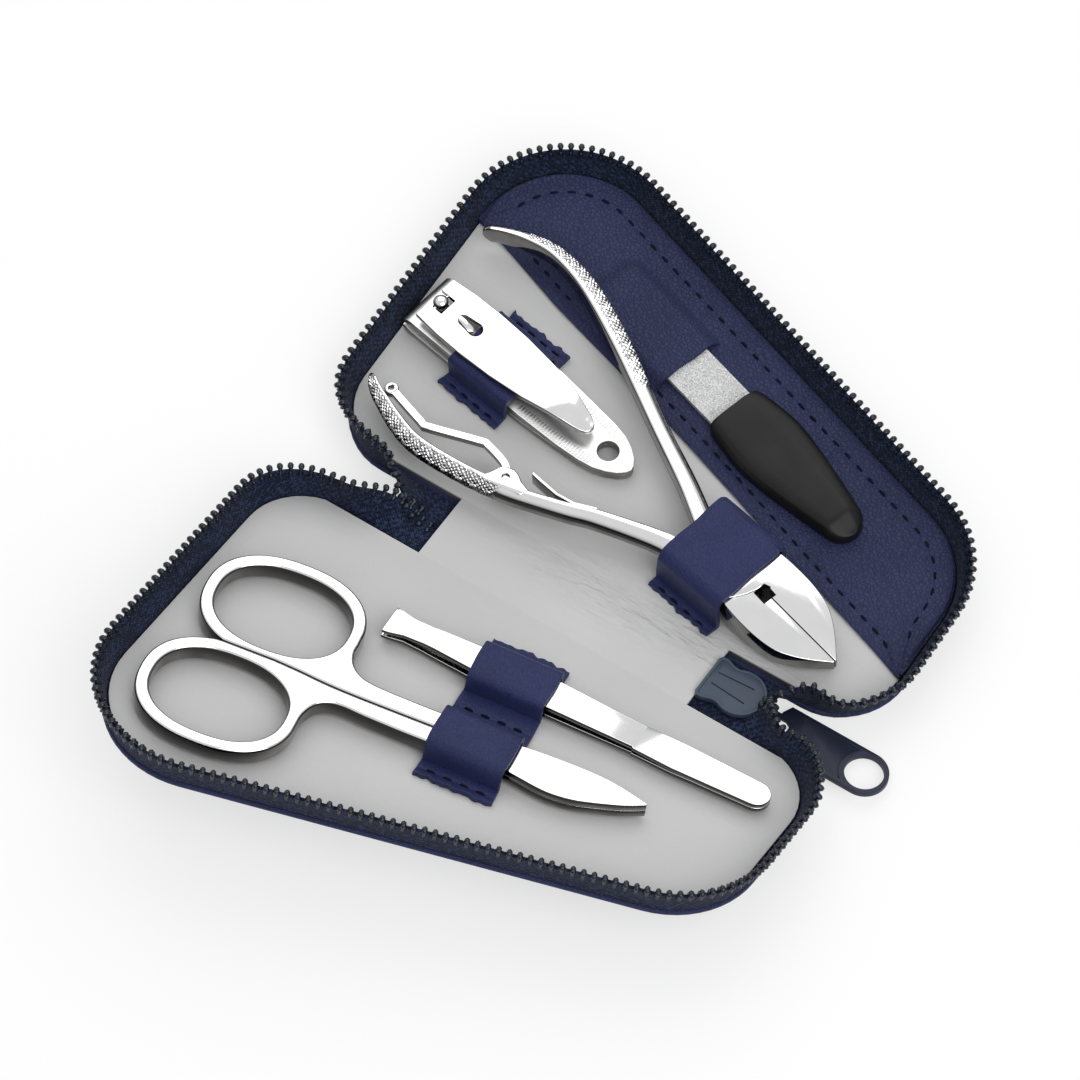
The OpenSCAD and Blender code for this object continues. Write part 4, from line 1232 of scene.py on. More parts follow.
@dataclass
class SliderAndPull:
    """The zip slider with its pin and pull tab."""

    parts: tuple = (
        SoftNode("slider_body", "spine", SLIDER, 0.22),
        SoftNode("pull_pin", "spine", SLIDER, 0.08),
        SoftNode("pull_tab", "pull", PULL, 0.16),
    )
    start: float = 28.3
    nose: float = 35.2
    nose_r: float = 4.85
    low: float = -0.3
    high: float = 0.85

    def build(self) -> None:
        """Softens the CAD shapes and adds the top plate."""
        for part in self.parts:
            part.build()
        Piece.hold(Piece.place(self.plate(), Place.SPINE), "spine", SLIDER)
        LOG.info("slider and pull tab")

    def plate(self) -> Obj:
        """The shield-shaped top plate: a raised rim round a dished face with two grooves."""
        x0, nose, r = self.start, self.nose, self.nose_r
        half = [(x0, 4.1), (x0 + 0.5, 4.9), (x0 + 1.8, 4.85), (x0 + 3.0, 4.3), (x0 + 4.1, 4.2)]
        arc = [polar(nose, 0, r, 118 - i * 236 / 40) for i in range(41)]
        outline = half + arc + [(x, -y) for x, y in reversed(half)]
        piece = Bench.plate("slider_plate", outline, self.low, self.high)

        def dish(mesh: Mesh) -> None:
            bpy.ops.mesh.select_all(action="DESELECT")
            mesh.faces.ensure_lookup_table()
            for face in mesh.faces:
                face.select_set(face.calc_center_median().z > self.high - 0.01)
            bmesh.update_edit_mesh(piece.data)
            bpy.ops.mesh.select_mode(type="FACE")
            bpy.ops.mesh.inset(thickness=0.6, depth=0.0, use_boundary=True)
            bpy.ops.mesh.extrude_region_move(TRANSFORM_OT_translate={"value": (0, 0, -0.45)})
            bpy.ops.mesh.select_all(action="SELECT")

        Bench.edit(piece, dish)
        for side in (-1, 1):
            a = math.radians(side * 6)
            ends = [(x0 + 1.6, -0.14), (nose + 2.7, -0.14), (nose + 2.7, 0.14), (x0 + 1.6, 0.14)]
            line = [(x, side * 1.15 + (x - x0) * math.sin(a) + y) for x, y in ends]
            Bench.punch(piece, line, self.high - 0.75, self.high + 1)
        Bench.soften(piece, 0.16, 3, 40)
        return Bench.smooth(piece, 40)


# ------------------------------------------------------------------ straps


@dataclass
class Stitches:
    """A row of sewn stitches: short lengths of thread that dip in at both ends."""

    length: float = 1.75
    pitch: float = 3.3
    thick: float = 0.26

    def stitch(self) -> Obj:
        """One stitch along X, a few dozen faces."""
        Bench.clear()
        bpy.ops.mesh.primitive_uv_sphere_add(segments=6, ring_count=6, radius=1.0)
        piece = Bench.named("stitch")

        def work(mesh: Mesh) -> None:
            for v in mesh.verts:
                x = v.co.z
                r = math.sqrt(max(0.0, 1 - x * x)) ** -0.5 if abs(x) < 0.99 else 1.0
                v.co = (x * self.length / 2, v.co.x * self.thick * r,
                        v.co.y * self.thick * r - 0.24 * abs(x) ** 3)

        Bench.edit(piece, work)
        return Bench.smooth(piece, 80)

    def row(self, name: str, path: Sequence[Vector], ends: float = 0.5) -> Obj:
        """Stitches along a path of points.

        Args:
            name: name of the piece.
            path: points of the seam, in millimetres.
            ends: distance from each end of the path to the first stitch.
        """
        run = Run(path)
        room = run.total - 2 * ends
        count = max(1, round(room / self.pitch))
        spots = []
        for k in range(count):
            i, t = run.find(ends + (k + 0.5) * room / count)
            x = (path[i + 1] - path[i]).normalized()
            y = Vector((0, 0, 1)).cross(x).normalized()
            m = Matrix((x, y, x.cross(y))).transposed().to_4x4()
            spots.append(Matrix.Translation(path[i].lerp(path[i + 1], t)) @ m)
        return Bench.copies(name, self.stitch(), spots)


@dataclass
class Strap:
    """A leather strap that goes over tools: a middle line over its humps, and its width."""

    name: str
    place: Place
    body: str
    inner: Matrix
    line: list[Point]
    width: float
    node: str
    seams: Sequence[float] = ()
    thickness: float = 0.9
    seed: int = 1
    droop: float = 0.2

    def build(self) -> None:
        """Bends the strap over its line, with hand-cut ends, soft edges and its seams."""
        rng = random.Random(self.seed)
        line = curve(self.line, 0.25)
        run = Run(line)
        total = run.total
        along = max(60, int(total / 0.35))
        across = 36
        jag = [[rng.uniform(-0.3, 0.3) for _ in range(13)] for _ in range(2)]

        def on_line(length: float) -> Point:
            i, t = run.find(length)
            return (mix(line[i][0], line[i + 1][0], t), mix(line[i][1], line[i + 1][1], t))

        def ragged(which: int, u: float) -> float:
            place = u * 12
            k = min(11, int(place))
            torn = mix(jag[which][k], jag[which][k + 1], place - k)
            return torn + 0.12 * math.sin(u * 47 + which * 2)

        def shape(u: float, v: float) -> Vector:
            w = (u - 0.5) * self.width
            y, z = on_line(v * total)
            low = z < 0.9
            near = smoothstep(1 - v * total / 2.0)
            far = smoothstep(1 - (1 - v) * total / 2.0)
            y += ragged(0, u) * near + ragged(1, u) * far
            ripple = 0.10 * math.sin(v * 17 + u * 2.2 + self.seed) + 0.07 * math.sin(u * 9 + v * 31)
            edge = self.droop * (abs(u - 0.5) * 2) ** 8
            dent = low * sum(0.2 * math.exp(-((y - seam) / 0.5) ** 2) for seam in self.seams)
            curl = 0.35 * (near + far) * (0.5 + 0.5 * math.sin(u * 5.5 + self.seed * 1.7))
            return Vector((w * (1 + 0.014 * math.sin(v * 23 + self.seed)), y,
                           z + max(0.0, ripple) * (0.35 if low else 1) + curl - dent
                           - (0 if low else edge)))

        piece = Bench.surface(self.name, across, along, shape, (self.width, total))
        Bench.modify(piece, "SOLIDIFY", thickness=self.thickness, offset=0.0)
        Bench.soften(piece, 0.16, 2, 50)
        Piece.fit(piece, 50, self.place, self.inner, self.body, STRAP, [self.node])
        for number, seam in enumerate(self.seams):
            path = [Vector((x, seam + 0.12 * math.sin(x * 1.3), self.thickness + 0.06))
                    for x in (-self.width / 2 + 0.6, -3, 0, 3, self.width / 2 - 0.6)]
            row = Stitches(pitch=3.0).row(f"{self.name}_seam_{number}", path)
            Piece.place(row, self.place, self.inner)
            Piece.hold(row, self.body, THREAD)


def hump(y0: float, y1: float, top: float, r: float, t: float = 0.9) -> list[Point]:
    """Middle line of a strap over a tool, from its near foot to its far one.

    Args:
        y0: near side of the space under the strap.
        y1: its far side.
        top: its height.
        r: radius of the strap's shoulders.
        t: thickness of the leather.
    """
    z, h = t / 2, top + t / 2
    a, b = y0 - t / 2, y1 + t / 2
    up = [polar(a + r, h - r, r, k) for k in range(180, 89, -15)]
    down = [polar(b - r, h - r, r, k) for k in range(90, -1, -15)]
    return [(a - 0.25, z + 0.02), (a - 0.05, z + 0.35), *up, *down,
            (b + 0.05, z + 0.35), (b + 0.25, z + 0.02)]


@dataclass
class Straps:
    """All the straps of the case."""

    gap: float = 0.3
    thickness: float = 0.9
    foot: float = 0.47

    def build(self) -> None:
        """Makes the strap over scissors and tweezers, over the nippers and over the clippers."""
        x = 2.0
        tw = TWEEZERS.y + (x - TWEEZERS.x) * math.tan(math.radians(TWEEZERS.turn))
        sc = SCISSORS.y + (x - SCISSORS.x) * math.tan(math.radians(SCISSORS.turn))
        inner = Matrix.Translation((x, tw, 0)) @ Matrix.Rotation(math.radians(-8), 4, "Z")
        far = (sc - tw) * math.cos(math.radians(-8))
        tw_half, sc_half, t, foot = 4.0, 4.4, self.thickness, self.foot
        line = ([(-tw_half - t - 3.4, foot), (-tw_half - t - 1.2, foot)]
                + hump(-tw_half, tw_half, 4.0 + self.gap, 1.3)
                + [(mix(tw_half, far - sc_half, 0.5), 0.46)]
                + hump(far - sc_half, far + sc_half, 4.6 + self.gap, 1.7)
                + [(far + sc_half + t + 1.2, foot), (far + sc_half + t + 3.6, foot)])
        seams = (-tw_half - t - 1.9, mix(tw_half, far - sc_half, 0.5), far + sc_half + t + 2.0)
        Strap("two_tool_strap", Place.FRONT, "front_half", inner, line, 15.0, "tool_loops", seams,
              seed=3, droop=0.05).build()
        half = 8.0
        line = ([(-half - t - 2.2, foot), (-half - t - 1.0, foot)]
                + hump(-half, half, 8.0 + self.gap, 2.0) + [(half + t + 0.5, foot)])
        Strap("nipper_strap", Place.BACK, "back_half", NIPPERS.matrix(), line, 15.0,
              "nipper_loop", (-half - t - 1.5,), seed=5).build()
        half = 5.9 + self.gap
        line = ([(-half - t - 2.6, foot), (-half - t - 1.0, foot)] + hump(-half, half, 5.3, 1.0)
                + [(half + t + 1.2, foot), (half + t + 3.4, foot)])
        inner = CLIPPERS.matrix() @ Matrix.Translation((15.5, 0, 0))
        Strap("clipper_strap", Place.BACK, "back_half", inner, line, 14.0, "clipper_loop",
              (-half - t - 1.6, half + t + 2.0), seed=8, droop=-0.12).build()
        LOG.info("straps over the tools")


# ------------------------------------------------------------------ pocket


@dataclass
class Pocket:
    """The leather pocket along the far side of the back half, with the file's slot in it."""

    thickness: float = 0.7
    slot: float = -12.6
    inner_seam: float = 2.7
    outer_seam: float = 3.5
    inner_rows: tuple = (0, 0.35, 0.9, 1.5, 2.0, 2.35, 2.7, 3.05, 3.4, 4.0)
    outer_rows: tuple = (0, 0.35, 0.8, 1.3, 2.0, 2.6, 2.9, 3.2, 3.5, 3.8, 4.1, 4.7)
    middle_rows: int = 22
    edge: tuple = ((-57, 50.6), (-49, 47.9), (-35.7, 42.9), (-23.7, 39.2), (-5.2, 33.2),
                   (13.9, 26.6), (28.3, 21.3), (57, 11.5))

    def edge_y(self, x: float) -> float:
        """Height of the pocket's inner edge at x."""
        return height_at(self.edge, x)

    def columns(self) -> list[list[tuple[float, float, float]]]:
        """Points of the sheet, from its inner edge to the rim: x, y and height of the middle."""
        rim = [p for p in PLAN.rim(1.0) if p.y > self.edge_y(p.x) - 0.01]
        n = len(rim) - 1
        right, left = rim[0].off(0.4), rim[-1].off(0.4)
        normal = Vector((0.316, 0.949))
        made = []
        for i, place in enumerate(rim):
            x = mix(right[0], left[0], i / n)
            inner = Vector((x, self.edge_y(x)))
            share = min(1.0, (Vector(place.off(0.4)) - inner).length / 10.5)
            column = []
            for d in self.inner_rows:
                dent = 0.2 * math.exp(-((d - self.inner_seam) / 0.45) ** 2)
                column.append((*(inner + normal * d * share), -dent - 0.12 * (d < 0.1)))
            a = inner + normal * self.inner_rows[-1] * share
            b = Vector(place.off(0.4 - self.outer_rows[-1] * share))
            for k in range(1, self.middle_rows):
                column.append((*a.lerp(b, k / self.middle_rows), 0.0))
            for d in reversed(self.outer_rows):
                dent = 0.2 * math.exp(-((d - self.outer_seam) / 0.45) ** 2)
                lift = 0.7 * max(0.0, 1 - d / 1.4) ** 2
                column.append((*place.off(0.4 - d * share), lift - dent))
            made.append(column)
        return made

    def sleeve(self) -> Obj:
        """The raised leather over the hidden half of the blade, open at the slot."""
        run = 26.0

        def shape(u: float, v: float) -> Vector:
            x, y = self.slot - u * run, mix(-9.5, 9.5, v)
            side = 1 - smoothstep((abs(y) - 5.0) / 3.4)
            end = 1 - smoothstep((-x - 33.5) / 4.5)
            lip = 0.12 * math.exp(-(u * run / 0.8) ** 2)
            wave = 0.1 * math.sin(y * 0.9) * (u < 0.01)
            return Vector((x + wave, y, 0.33 + (1.78 + lip) * side * end))

        piece = Bench.surface("pocket_sleeve", 44, 48, shape, (run, 19))
        Bench.modify(piece, "SOLIDIFY", thickness=0.6, offset=0.0)
        return Bench.soften(piece, 0.12, 2, 50)

    def build(self) -> None:
        """Makes the sheet, its raised sleeve and the two rows of stitches."""
        columns = self.columns()
        n, m = len(columns) - 1, len(columns[0]) - 1

        def shape(u: float, v: float) -> Vector:
            x, y, z = columns[round(u * n)][round(v * m)]
            return Vector((x, y, self.thickness / 2 + z + 0.05 * math.sin(x * 0.4 + y * 0.23)))

        sheet = Bench.surface("file_pocket_sheet", n, m, shape, (150, 40))
        Bench.modify(sheet, "SOLIDIFY", thickness=self.thickness, offset=0.0)

        Bench.outward(sheet, 0.01)
        Piece.fit(sheet, 60, Place.BACK, None, "back_half", POCKET, ["file_pocket"])
        Piece.fit(self.sleeve(), 50, Place.BACK, FILE.matrix(), "back_half", POCKET)
        inner = self.inner_rows.index(self.inner_seam)
        outer = m - self.outer_rows.index(self.outer_seam)
        for name, row in (("inner", inner), ("outer", outer)):
            path = [Vector((c[row][0], c[row][1], self.thickness - 0.08)) for c in columns[6:-6]]
            piece = Stitches().row(f"pocket_seam_{name}", path)
            Piece.place(piece, Place.BACK)
            Piece.hold(piece, "back_half", THREAD)
        LOG.info("file pocket: sheet, sleeve and seams")


# ------------------------------------------------------------------ tools


@dataclass
class Tools:
    """The metal parts that keep their CAD shapes."""

    parts: tuple = (
        SoftNode("scissor_screw", "scissors", CHROME, 0.1),
        SoftNode("tweezer_lower_arm", "tweezers", CHROME, 0.18),
        SoftNode("tweezer_upper_arm", "tweezer_top_arm", CHROME, 0.18),
        SoftNode("nipper_rivet", "nipper_lower_half", CHROME, 0.1),
        SoftNode("nipper_leaf_spring", "nippers", CHROME, 0.06),
        SoftNode("clipper_lower_jaw", "clippers", SATIN, 0.16),
        SoftNode("clipper_upper_jaw", "clipper_top_jaw", SATIN, 0.16),
        SoftNode("clipper_rivet", "clippers", CHROME, 0.1),
        SoftNode("file_blade", "file", GRIT, 0.08),
    )

    def build(self) -> None:
        """Softens and dresses every part."""
        for part in self.parts:
            part.build()
        LOG.info("tools: %d parts", len(self.parts))


@dataclass
class FileHandle:
    """The file's moulded handle: two facets that meet in a long ridge, round at the end."""

    low: float = 0.75
    length: float = 34.0
    half: tuple = (
        (0.3, 5.6), (1.2, 6.0), (5, 6.65), (9.5, 7.1), (13.5, 6.9), (18, 6.3), (22.5, 5.5),
        (27, 4.7), (30, 4.05))
    section: tuple = (
        (-0.93, 0.0), (-1.0, 0.25), (-1.0, 1.9), (-0.985, 2.5), (-0.95, 2.95), (-0.87, 3.35),
        (-0.76, 3.6), (-0.55, 3.78), (-0.2, 3.92), (0.2, 4.05), (0.36, 4.12), (0.42, 4.1),
        (0.5, 4.0), (0.72, 3.6), (0.86, 3.25), (0.95, 2.85), (0.985, 2.45), (1.0, 1.9),
        (1.0, 0.25), (0.93, 0.0), (-0.93, 0.0))

    def build(self) -> None:
        """Sweeps the section along the handle and closes both ends."""
        line = curve(self.half, 0.7)
        end_x, end_r = line[-1]
        line += [(end_x + (self.length - end_x) * math.sin(a), end_r * math.cos(a))
                 for a in (math.radians(7.5 * i) for i in range(1, 13))]
        stations = [(0.3, 0.0, 0.0), (0.3, line[0][1] * 0.9, 0.9), *((x, w, 1.0) for x, w in line)]
        n, m = len(stations) - 1, len(self.section) - 1

        def shape(u: float, v: float) -> Vector:
            x, w, rise = stations[round(v * n)]
            side, z = self.section[round(u * m)]
            drop = smoothstep((x - 29.5) / 4.5)
            top = z * (1 - 0.42 * drop) * (0.96 + 0.04 * smoothstep(x / 3))
            return Vector((x, side * w, self.low + (top * max(rise, 0.5))))

        piece = Bench.surface("file_grip", m, n, shape, weld=True)
        Bench.outward(piece)
        Bench.soften(piece, 0.22, 3, 50)
        Piece.fit(piece, 40, Place.BACK, FILE.matrix(), "file", GRIP, ["file_handle"])
        LOG.info("file handle")


@dataclass
class ClipperTop:
    """The nail clippers' lever, post and the ridges of the tail."""

    low: float = 6.55
    thick: float = 1.1
    drop: float = 1.9
    head_z: float = 5.1
    tail_z: float = 2.9
    tail_x: float = 34.3
    side: tuple = (
        (-1.6, 5.0), (4, 5.5), (9.8, 5.6), (17, 5.3), (24.3, 4.5), (31, 3.2), (35.8, 1.9),
        (37.1, 1.2), (37.5, 0.6))
    tail: tuple = (
        (22, 5.95), (24.8, 6.0), (33.3, 5.5), (38.8, 5.0), (41.8, 4.4))

    def lever(self) -> Obj:
        """The pressed lever: bent down to the tail, slotted for the post, with its tongue."""
        line = [*self.side, *((x, -y) for x, y in reversed(self.side))]
        piece = Bench.plate("lever", line, self.low, self.low + self.thick)

        def bend(mesh: Mesh) -> None:
            for i in range(14):
                bpy.ops.mesh.select_all(action="SELECT")
                bpy.ops.mesh.bisect(plane_co=(28.5 + 0.65 * i, 0, 0), plane_no=(1, 0, 0))
            for v in bmesh.from_edit_mesh(piece.data).verts:
                v.co.z -= self.drop * smoothstep((v.co.x - 29) / 10)

        Bench.edit(piece, bend)
        Bench.soften(piece, 0.2, 3, 40)
        Bench.punch(piece, box(-3, -1.9, 1.9, 1.9), 5, 9)
        round_end = [polar(8.6, 0, 1.5, -90 + 10 * i) for i in range(19)]
        Bench.punch(piece, [(4.6, 0.5), (4.6, -0.5), (5.4, -1.1), *round_end, (5.4, 1.1)], 5, 9)
        outline = [(4.5, -0.5), (7.6, -0.75), (8.2, 0.0), (7.6, 0.75), (4.5, 0.5)]
        tongue = Bench.plate("tongue", outline, self.low + 0.5, self.low + 0.95)

        def press(mesh: Mesh) -> None:
            for v in mesh.verts:
                v.co.z -= 0.3 * (v.co.x - 4.5)

        Bench.edit(tongue, press)
        Bench.soften(tongue, 0.1, 2, 40)
        return Bench.join("clipper_lever_bar", [piece, tongue])

    def post(self) -> Obj:
        """The post with its round head, and the axle of the lever through it."""
        def spun(name: str, profile: list[Point], across: bool) -> Obj:
            n = len(profile) - 1

            def shape(u: float, v: float) -> Vector:
                r, h = profile[round(v * n)]
                x, y = r * math.cos(u * 2 * math.pi), r * math.sin(u * 2 * math.pi)
                return Vector((x, h, y + self.low + 0.55)) if across else Vector((x, y, h))

            return Bench.surface(name, 28, n, shape, weld=True)

        head = [(0, 8.4), (0.45, 8.36), (0.9, 8.2), (1.22, 7.95), (1.42, 7.6), (1.42, 7.3),
                (1.2, 7.0), (1.1, 6.9), (1.1, 0.6), (0, 0.6)]
        axle = [(0, -3.4), (0.3, -3.4), (0.32, -3.3), (0.32, 3.3), (0.3, 3.4), (0, 3.4)]
        turned = [spun("head", head, False), spun("axle", axle, True)]
        piece = Bench.join("clipper_post_head", turned)
        Bench.outward(piece)
        return piece

    def ridges(self) -> Obj:
        """Fine ridges across both edges of the tail."""
        model = Bench.plate("ridge", box(-0.14, -0.85, 0.14, 0.85), -0.1, 0.1)
        Bench.soften(model, 0.07, 2, 40)
        spots = []
        for i in range(27):
            x = 24.2 + i * 0.62
            width = height_at(self.tail, x)
            z = mix(self.head_z, self.tail_z, min(1.0, (x - 6) / (self.tail_x - 6)))
            spots += [Matrix.Translation((x, s * (width - 1.2), z)) for s in (-1, 1)]
        return Bench.copies("clipper_ridges", model, spots)

    def build(self) -> None:
        """Makes the three pieces."""
        for piece, body, finish, nodes in (
                (self.lever(), "clipper_lift", CHROME, ["clipper_lever"]),
                (self.post(), "clipper_swivel", CHROME, ["clipper_post"]),
                (self.ridges(), "clipper_top_jaw", SATIN, [])):
            Piece.fit(piece, 35, Place.BACK, CLIPPERS.matrix(), body, finish, nodes)
        LOG.info("clippers: lever, post and ridges")


@dataclass
class Scissors:
    """Nail scissors: two flat-layered blades whose shanks open into egg-shaped rings."""

    low: float = 1.0
    blade: float = 1.5
    ring_length: float = 30.0
    ring_width: float = 24.0
    band: float = 2.5
    height: float = 3.6
    seam: float = 0.08
    middle: float = 2.55
    screw_r: float = 1.45
    meeting: tuple = ((-4.5, 0), (-9, 0), (-20, -0.1), (-26, -0.35), (-31, -0.85), (-36, -1.2))
    outlines: dict[int, list[Point]] = field(default_factory=lambda: {
        1: [(-27.1, 9.8), (-27, 8), (-26, 5.3), (-24.2, 3.7), (-21.5, 3.1), (-17, 3.4), (-10, 3.65),
            (-4.5, 3.7)],
        -1: [(-23.95, -11), (-24, -9.5), (-23.2, -7), (-21.3, -5.1), (-18, -4.1), (-10, -3.75),
             (-4.5, -3.7)]})
    roots: dict[int, tuple] = field(default_factory=lambda: {
        1: (((-6.5, 0.3), (-6.5, 3.6)), ((-4.1, -3.6), (-4.1, 0.3))),
        -1: (((-6.5, -0.3), (-4.1, -0.3), (-4.1, 3.6)), ((-6.5, -3.6),))})
    centres: dict[int, Point] = field(default_factory=lambda: {
        1: (-42.0, 10.5), -1: (-38.9, -12.3)})
    back: tuple = (
        (0, 3.7), (4, 3.4), (8, 3.1), (12, 3.7), (16, 4.4), (19, 4.6), (22.5, 4.2), (26, 3.2),
        (31.4, 1.2), (35, -0.7))
    edge: tuple = (
        (35, -1.0), (28.5, -2.7), (22.4, -3.3), (14, -3.3), (8, -3.0), (0, -3.6))

    def handle(self, side: int) -> Obj:
        """Ring and shank of one half, rounded all over.

        Args:
            side: 1 for the half whose ring lies beyond the axis, -1 for the other.
        """
        start, stop = (262.0, 4.0) if side > 0 else (98.0, 358.0)
        ring = egg(self.centres[side], self.ring_length, self.ring_width, 0, start, stop, 60)
        ring = [(x, side * max(side * y, self.seam - 1.2 * side)) for x, y in ring]
        shank = curve(self.outlines[side], 0.9)
        seam = [(x, y + side * self.seam) for x, y in self.meeting]
        low, high = self.middle - self.height / 2, self.middle + self.height / 2
        piece = Bench.plate(f"scissor_handle_{side}", ring + shank + curve(seam, 1.5), low, high)
        hole = egg(self.centres[side], self.ring_length, self.ring_width, -self.band)
        Bench.punch(piece, hole, low - 1, high + 1)
        return Bench.soften(piece, 0.8, 5, 40)

    def build(self) -> None:
        """Makes both halves."""
        m = SCISSORS.matrix()
        for side, body, node in ((1, "scissors", "scissor_lower_half"),
                                 (-1, "scissor_top_blade", "scissor_upper_half")):
            handle = self.handle(side)
            z = self.low if side > 0 else self.low + self.blade + 0.1
            drop = 0.25 if side > 0 else 0.0
            start, end = self.roots[side]
            line = [*start, *curve(self.back, 1.2)]
            line += [(x, y - drop * (x > 28)) for x, y in curve(self.edge, 1.2)]
            line += end
            blade = Bench.plate(f"scissor_blade_{side}", line, z, z + self.blade)
            Bench.punch(blade, circle(0, 0, self.screw_r), z - 1, z + 3)
            Bench.soften(blade, 0.32, 3, 40)
            piece = Bench.join(f"scissors_{node}", [handle, blade])
            Piece.fit(piece, 38, Place.FRONT, m, body, CHROME, [node])
        LOG.info("scissors: two halves")


@dataclass
class Nippers:
    """Cuticle nippers: an ogive head on a lap joint, and half-round knurled handles."""

    low: float = 1.0
    high: float = 8.0
    joint_r: float = 7.0
    gap: float = 0.1
    rivet_r: float = 2.05
    depth: float = 3.7
    handle_low: float = 2.6
    handle_high: float = 7.2
    wire: float = 0.75
    ear_at: Point = (-22.1, 4.9)
    near: tuple = (
        (17, 11.6, 1.16), (13, 9.8, 1.1), (6, 8.9, 0.95), (-4, 6.9, 0.83), (-9, 5.4, 0.78),
        (-15, 3.9, 0.75), (-21, 2.65, 0.75), (-28, 2, 0.75), (-36, 2, 0.75), (-41, 2.6, 0.75),
        (-45.5, 4.3, 0.73), (-49.5, 6.4, 0.62), (-52.5, 8.2, 0.5), (-54.9, 10.4, 0.36))
    far: tuple = (
        (16.5, 14, 1.16), (13, 16.6, 1.1), (6, 22, 1), (-4, 28.8, 0.9), (-11.5, 34.2, 0.92),
        (-19, 39.6, 1), (-27.5, 45, 1), (-34, 48.2, 0.92), (-40.5, 49.9, 0.78), (-46, 49.6, 0.62),
        (-50.5, 48.4, 0.5), (-54.2, 46.7, 0.36))
    slope: float = 0.18
    knurl_pitch: float = 0.95
    knurl_depth: float = 0.24
    slit: tuple = (
        (9.75, -0.9), (9.35, -1.9), (9.15, -2.7), (8.6, -3.9), (7.85, -5.2), (6.7, -6.6))
    jaw: tuple = (
        (3, 6.2), (6, 7), (11, 7.5), (16, 7.4), (20, 6.6), (23, 5), (25.5, 3.1), (27.5, 1.3),
        (28.5, 0.4))
    ear: tuple = (
        (-26.4, 2.6), (-25.2, 4.2), (-24.2, 6.1), (-23.2, 6.9), (-21.4, 7), (-20.2, 6.5),
        (-19.1, 5.6), (-16.5, 4.6), (-18, 3), (-25, 2.2))
    lever: tuple = (
        (-22.1, 4.9), (-24, 7.7), (-28.9, 9.5), (-30.8, 9.35), (-40, 6.85), (-41.6, 7),
        (-49.9, 9.9))

    @property
    def lap(self) -> float:
        """Height of the lap joint's middle."""
        return (self.low + self.high) / 2

    def knurl(self, around: float, along: float, field_start: float, field_end: float) -> float:
        """Depth of the cut between the knurl's pyramids at a place on a handle's round side."""
        def wedge(run: float) -> float:
            return 1 - abs(2 * ((run / self.knurl_pitch) % 1.0) - 1)
        cut = 1 - 2 * min(wedge(along + around), wedge(along - around))
        inside = (smoothstep((along - field_start) / 1.5) * smoothstep((field_end - along) / 1.5)
                  * smoothstep((around - 0.3) / 0.3) * smoothstep((7.4 - around) / 0.4))
        return self.knurl_depth * max(0.0, cut) * inside

    def handle(self, name: str, line: list, out: int, knurled: Point) -> Obj:
        """A half-round bar, flat towards the other handle, that thins to a blunt end.

        Args:
            name: name of the piece.
            line: its middle line, with the bar's share of the full depth at each point.
            out: 1 or -1, the side of the line that is round.
            knurled: start and end of the knurled field along the line.
        """
        pts = curve(line, 0.22)
        n = len(pts) - 1
        mid = (self.handle_low + self.handle_high) / 2
        half = (self.handle_high - self.handle_low) / 2
        flat = [(0.03, -0.93), (0.0, -0.82), (0.0, 0.0), (0.0, 0.82), (0.03, 0.93)]
        turns = [i * 180 / 34 for i in range(35)]
        section = [(a, b, -1.0) for a, b in flat]
        for a in turns:
            r = math.radians(90 - a)
            section.append((0.1 + 0.9 * abs(math.cos(r)) ** 0.85,
                            math.copysign(abs(math.sin(r)) ** 0.85, r), a / 180 * 8.6))
        section.append((0.03, -0.93, -1.0))
        count = len(section) - 1

        def shape(u: float, v: float) -> Vector:
            i = round(v * n)
            x, y, share = pts[i]
            a, b = pts[max(0, i - 2)], pts[min(n, i + 2)]
            d = Vector((b[0] - a[0], b[1] - a[1])).normalized()
            close = min(1.0, (n - i) / 9.0) ** 0.5 * min(1.0, i / 2.0)
            px, pz, around = section[round(u * count)]
            w = share * self.depth
            cut = self.knurl(around, i * 0.22, *knurled) if around > 0 else 0.0
            r = math.hypot(px, pz) or 1.0
            across = out * ((px - 0.5) * w - cut * px / r) * close
            height = mid + (pz * half - cut * pz / r) * close
            return Vector((x - d.y * across, y + d.x * across, height))

        return Bench.surface(name, count, n, shape, (12.0, n * 0.22), weld=True)

    def lap_cutter(self, below: bool) -> Obj:
        """The space of the other half's disc."""
        z0, z1 = (0.0, self.lap + self.gap / 2) if below else (self.lap - self.gap / 2, 9.0)
        return Bench.plate("lap_space", circle(0, 0, self.joint_r + self.gap, 64), z0, z1)

    def to_tool(self, points: Iterable[Sequence[float]]) -> list[tuple[float, ...]]:
        """Points of the panel in the nippers' own frame."""
        return [(*NIPPERS.to_tool(p[0], p[1]), *p[2:]) for p in points]

    def half(self, side: int) -> list[Obj]:
        """Jaw and disc of one half, and its handle.

        Args:
            side: 1 for the half with the far jaw and the near handle.
        """
        outline = [(3.0, 0.05), *curve(self.jaw, 1.0), (28.5, 0.05)]
        if side > 0:
            outline[0:1] = [(self.slit[0][0], 0.05), *self.slit, (6, -6.75), (3, -6.1), (3, 0)]
        jaw = Bench.plate(f"jaw_{side}", [(x, side * y) for x, y in outline], self.low, self.high)

        def thin(mesh: Mesh) -> None:
            bpy.ops.mesh.bisect(plane_co=(8, 0, 0), plane_no=(1, 0, 0))
            for v in bmesh.from_edit_mesh(jaw.data).verts:
                run = max(0.0, v.co.x - 8.0)
                v.co.z += run * (-self.slope if v.co.z > self.lap else 0.03)

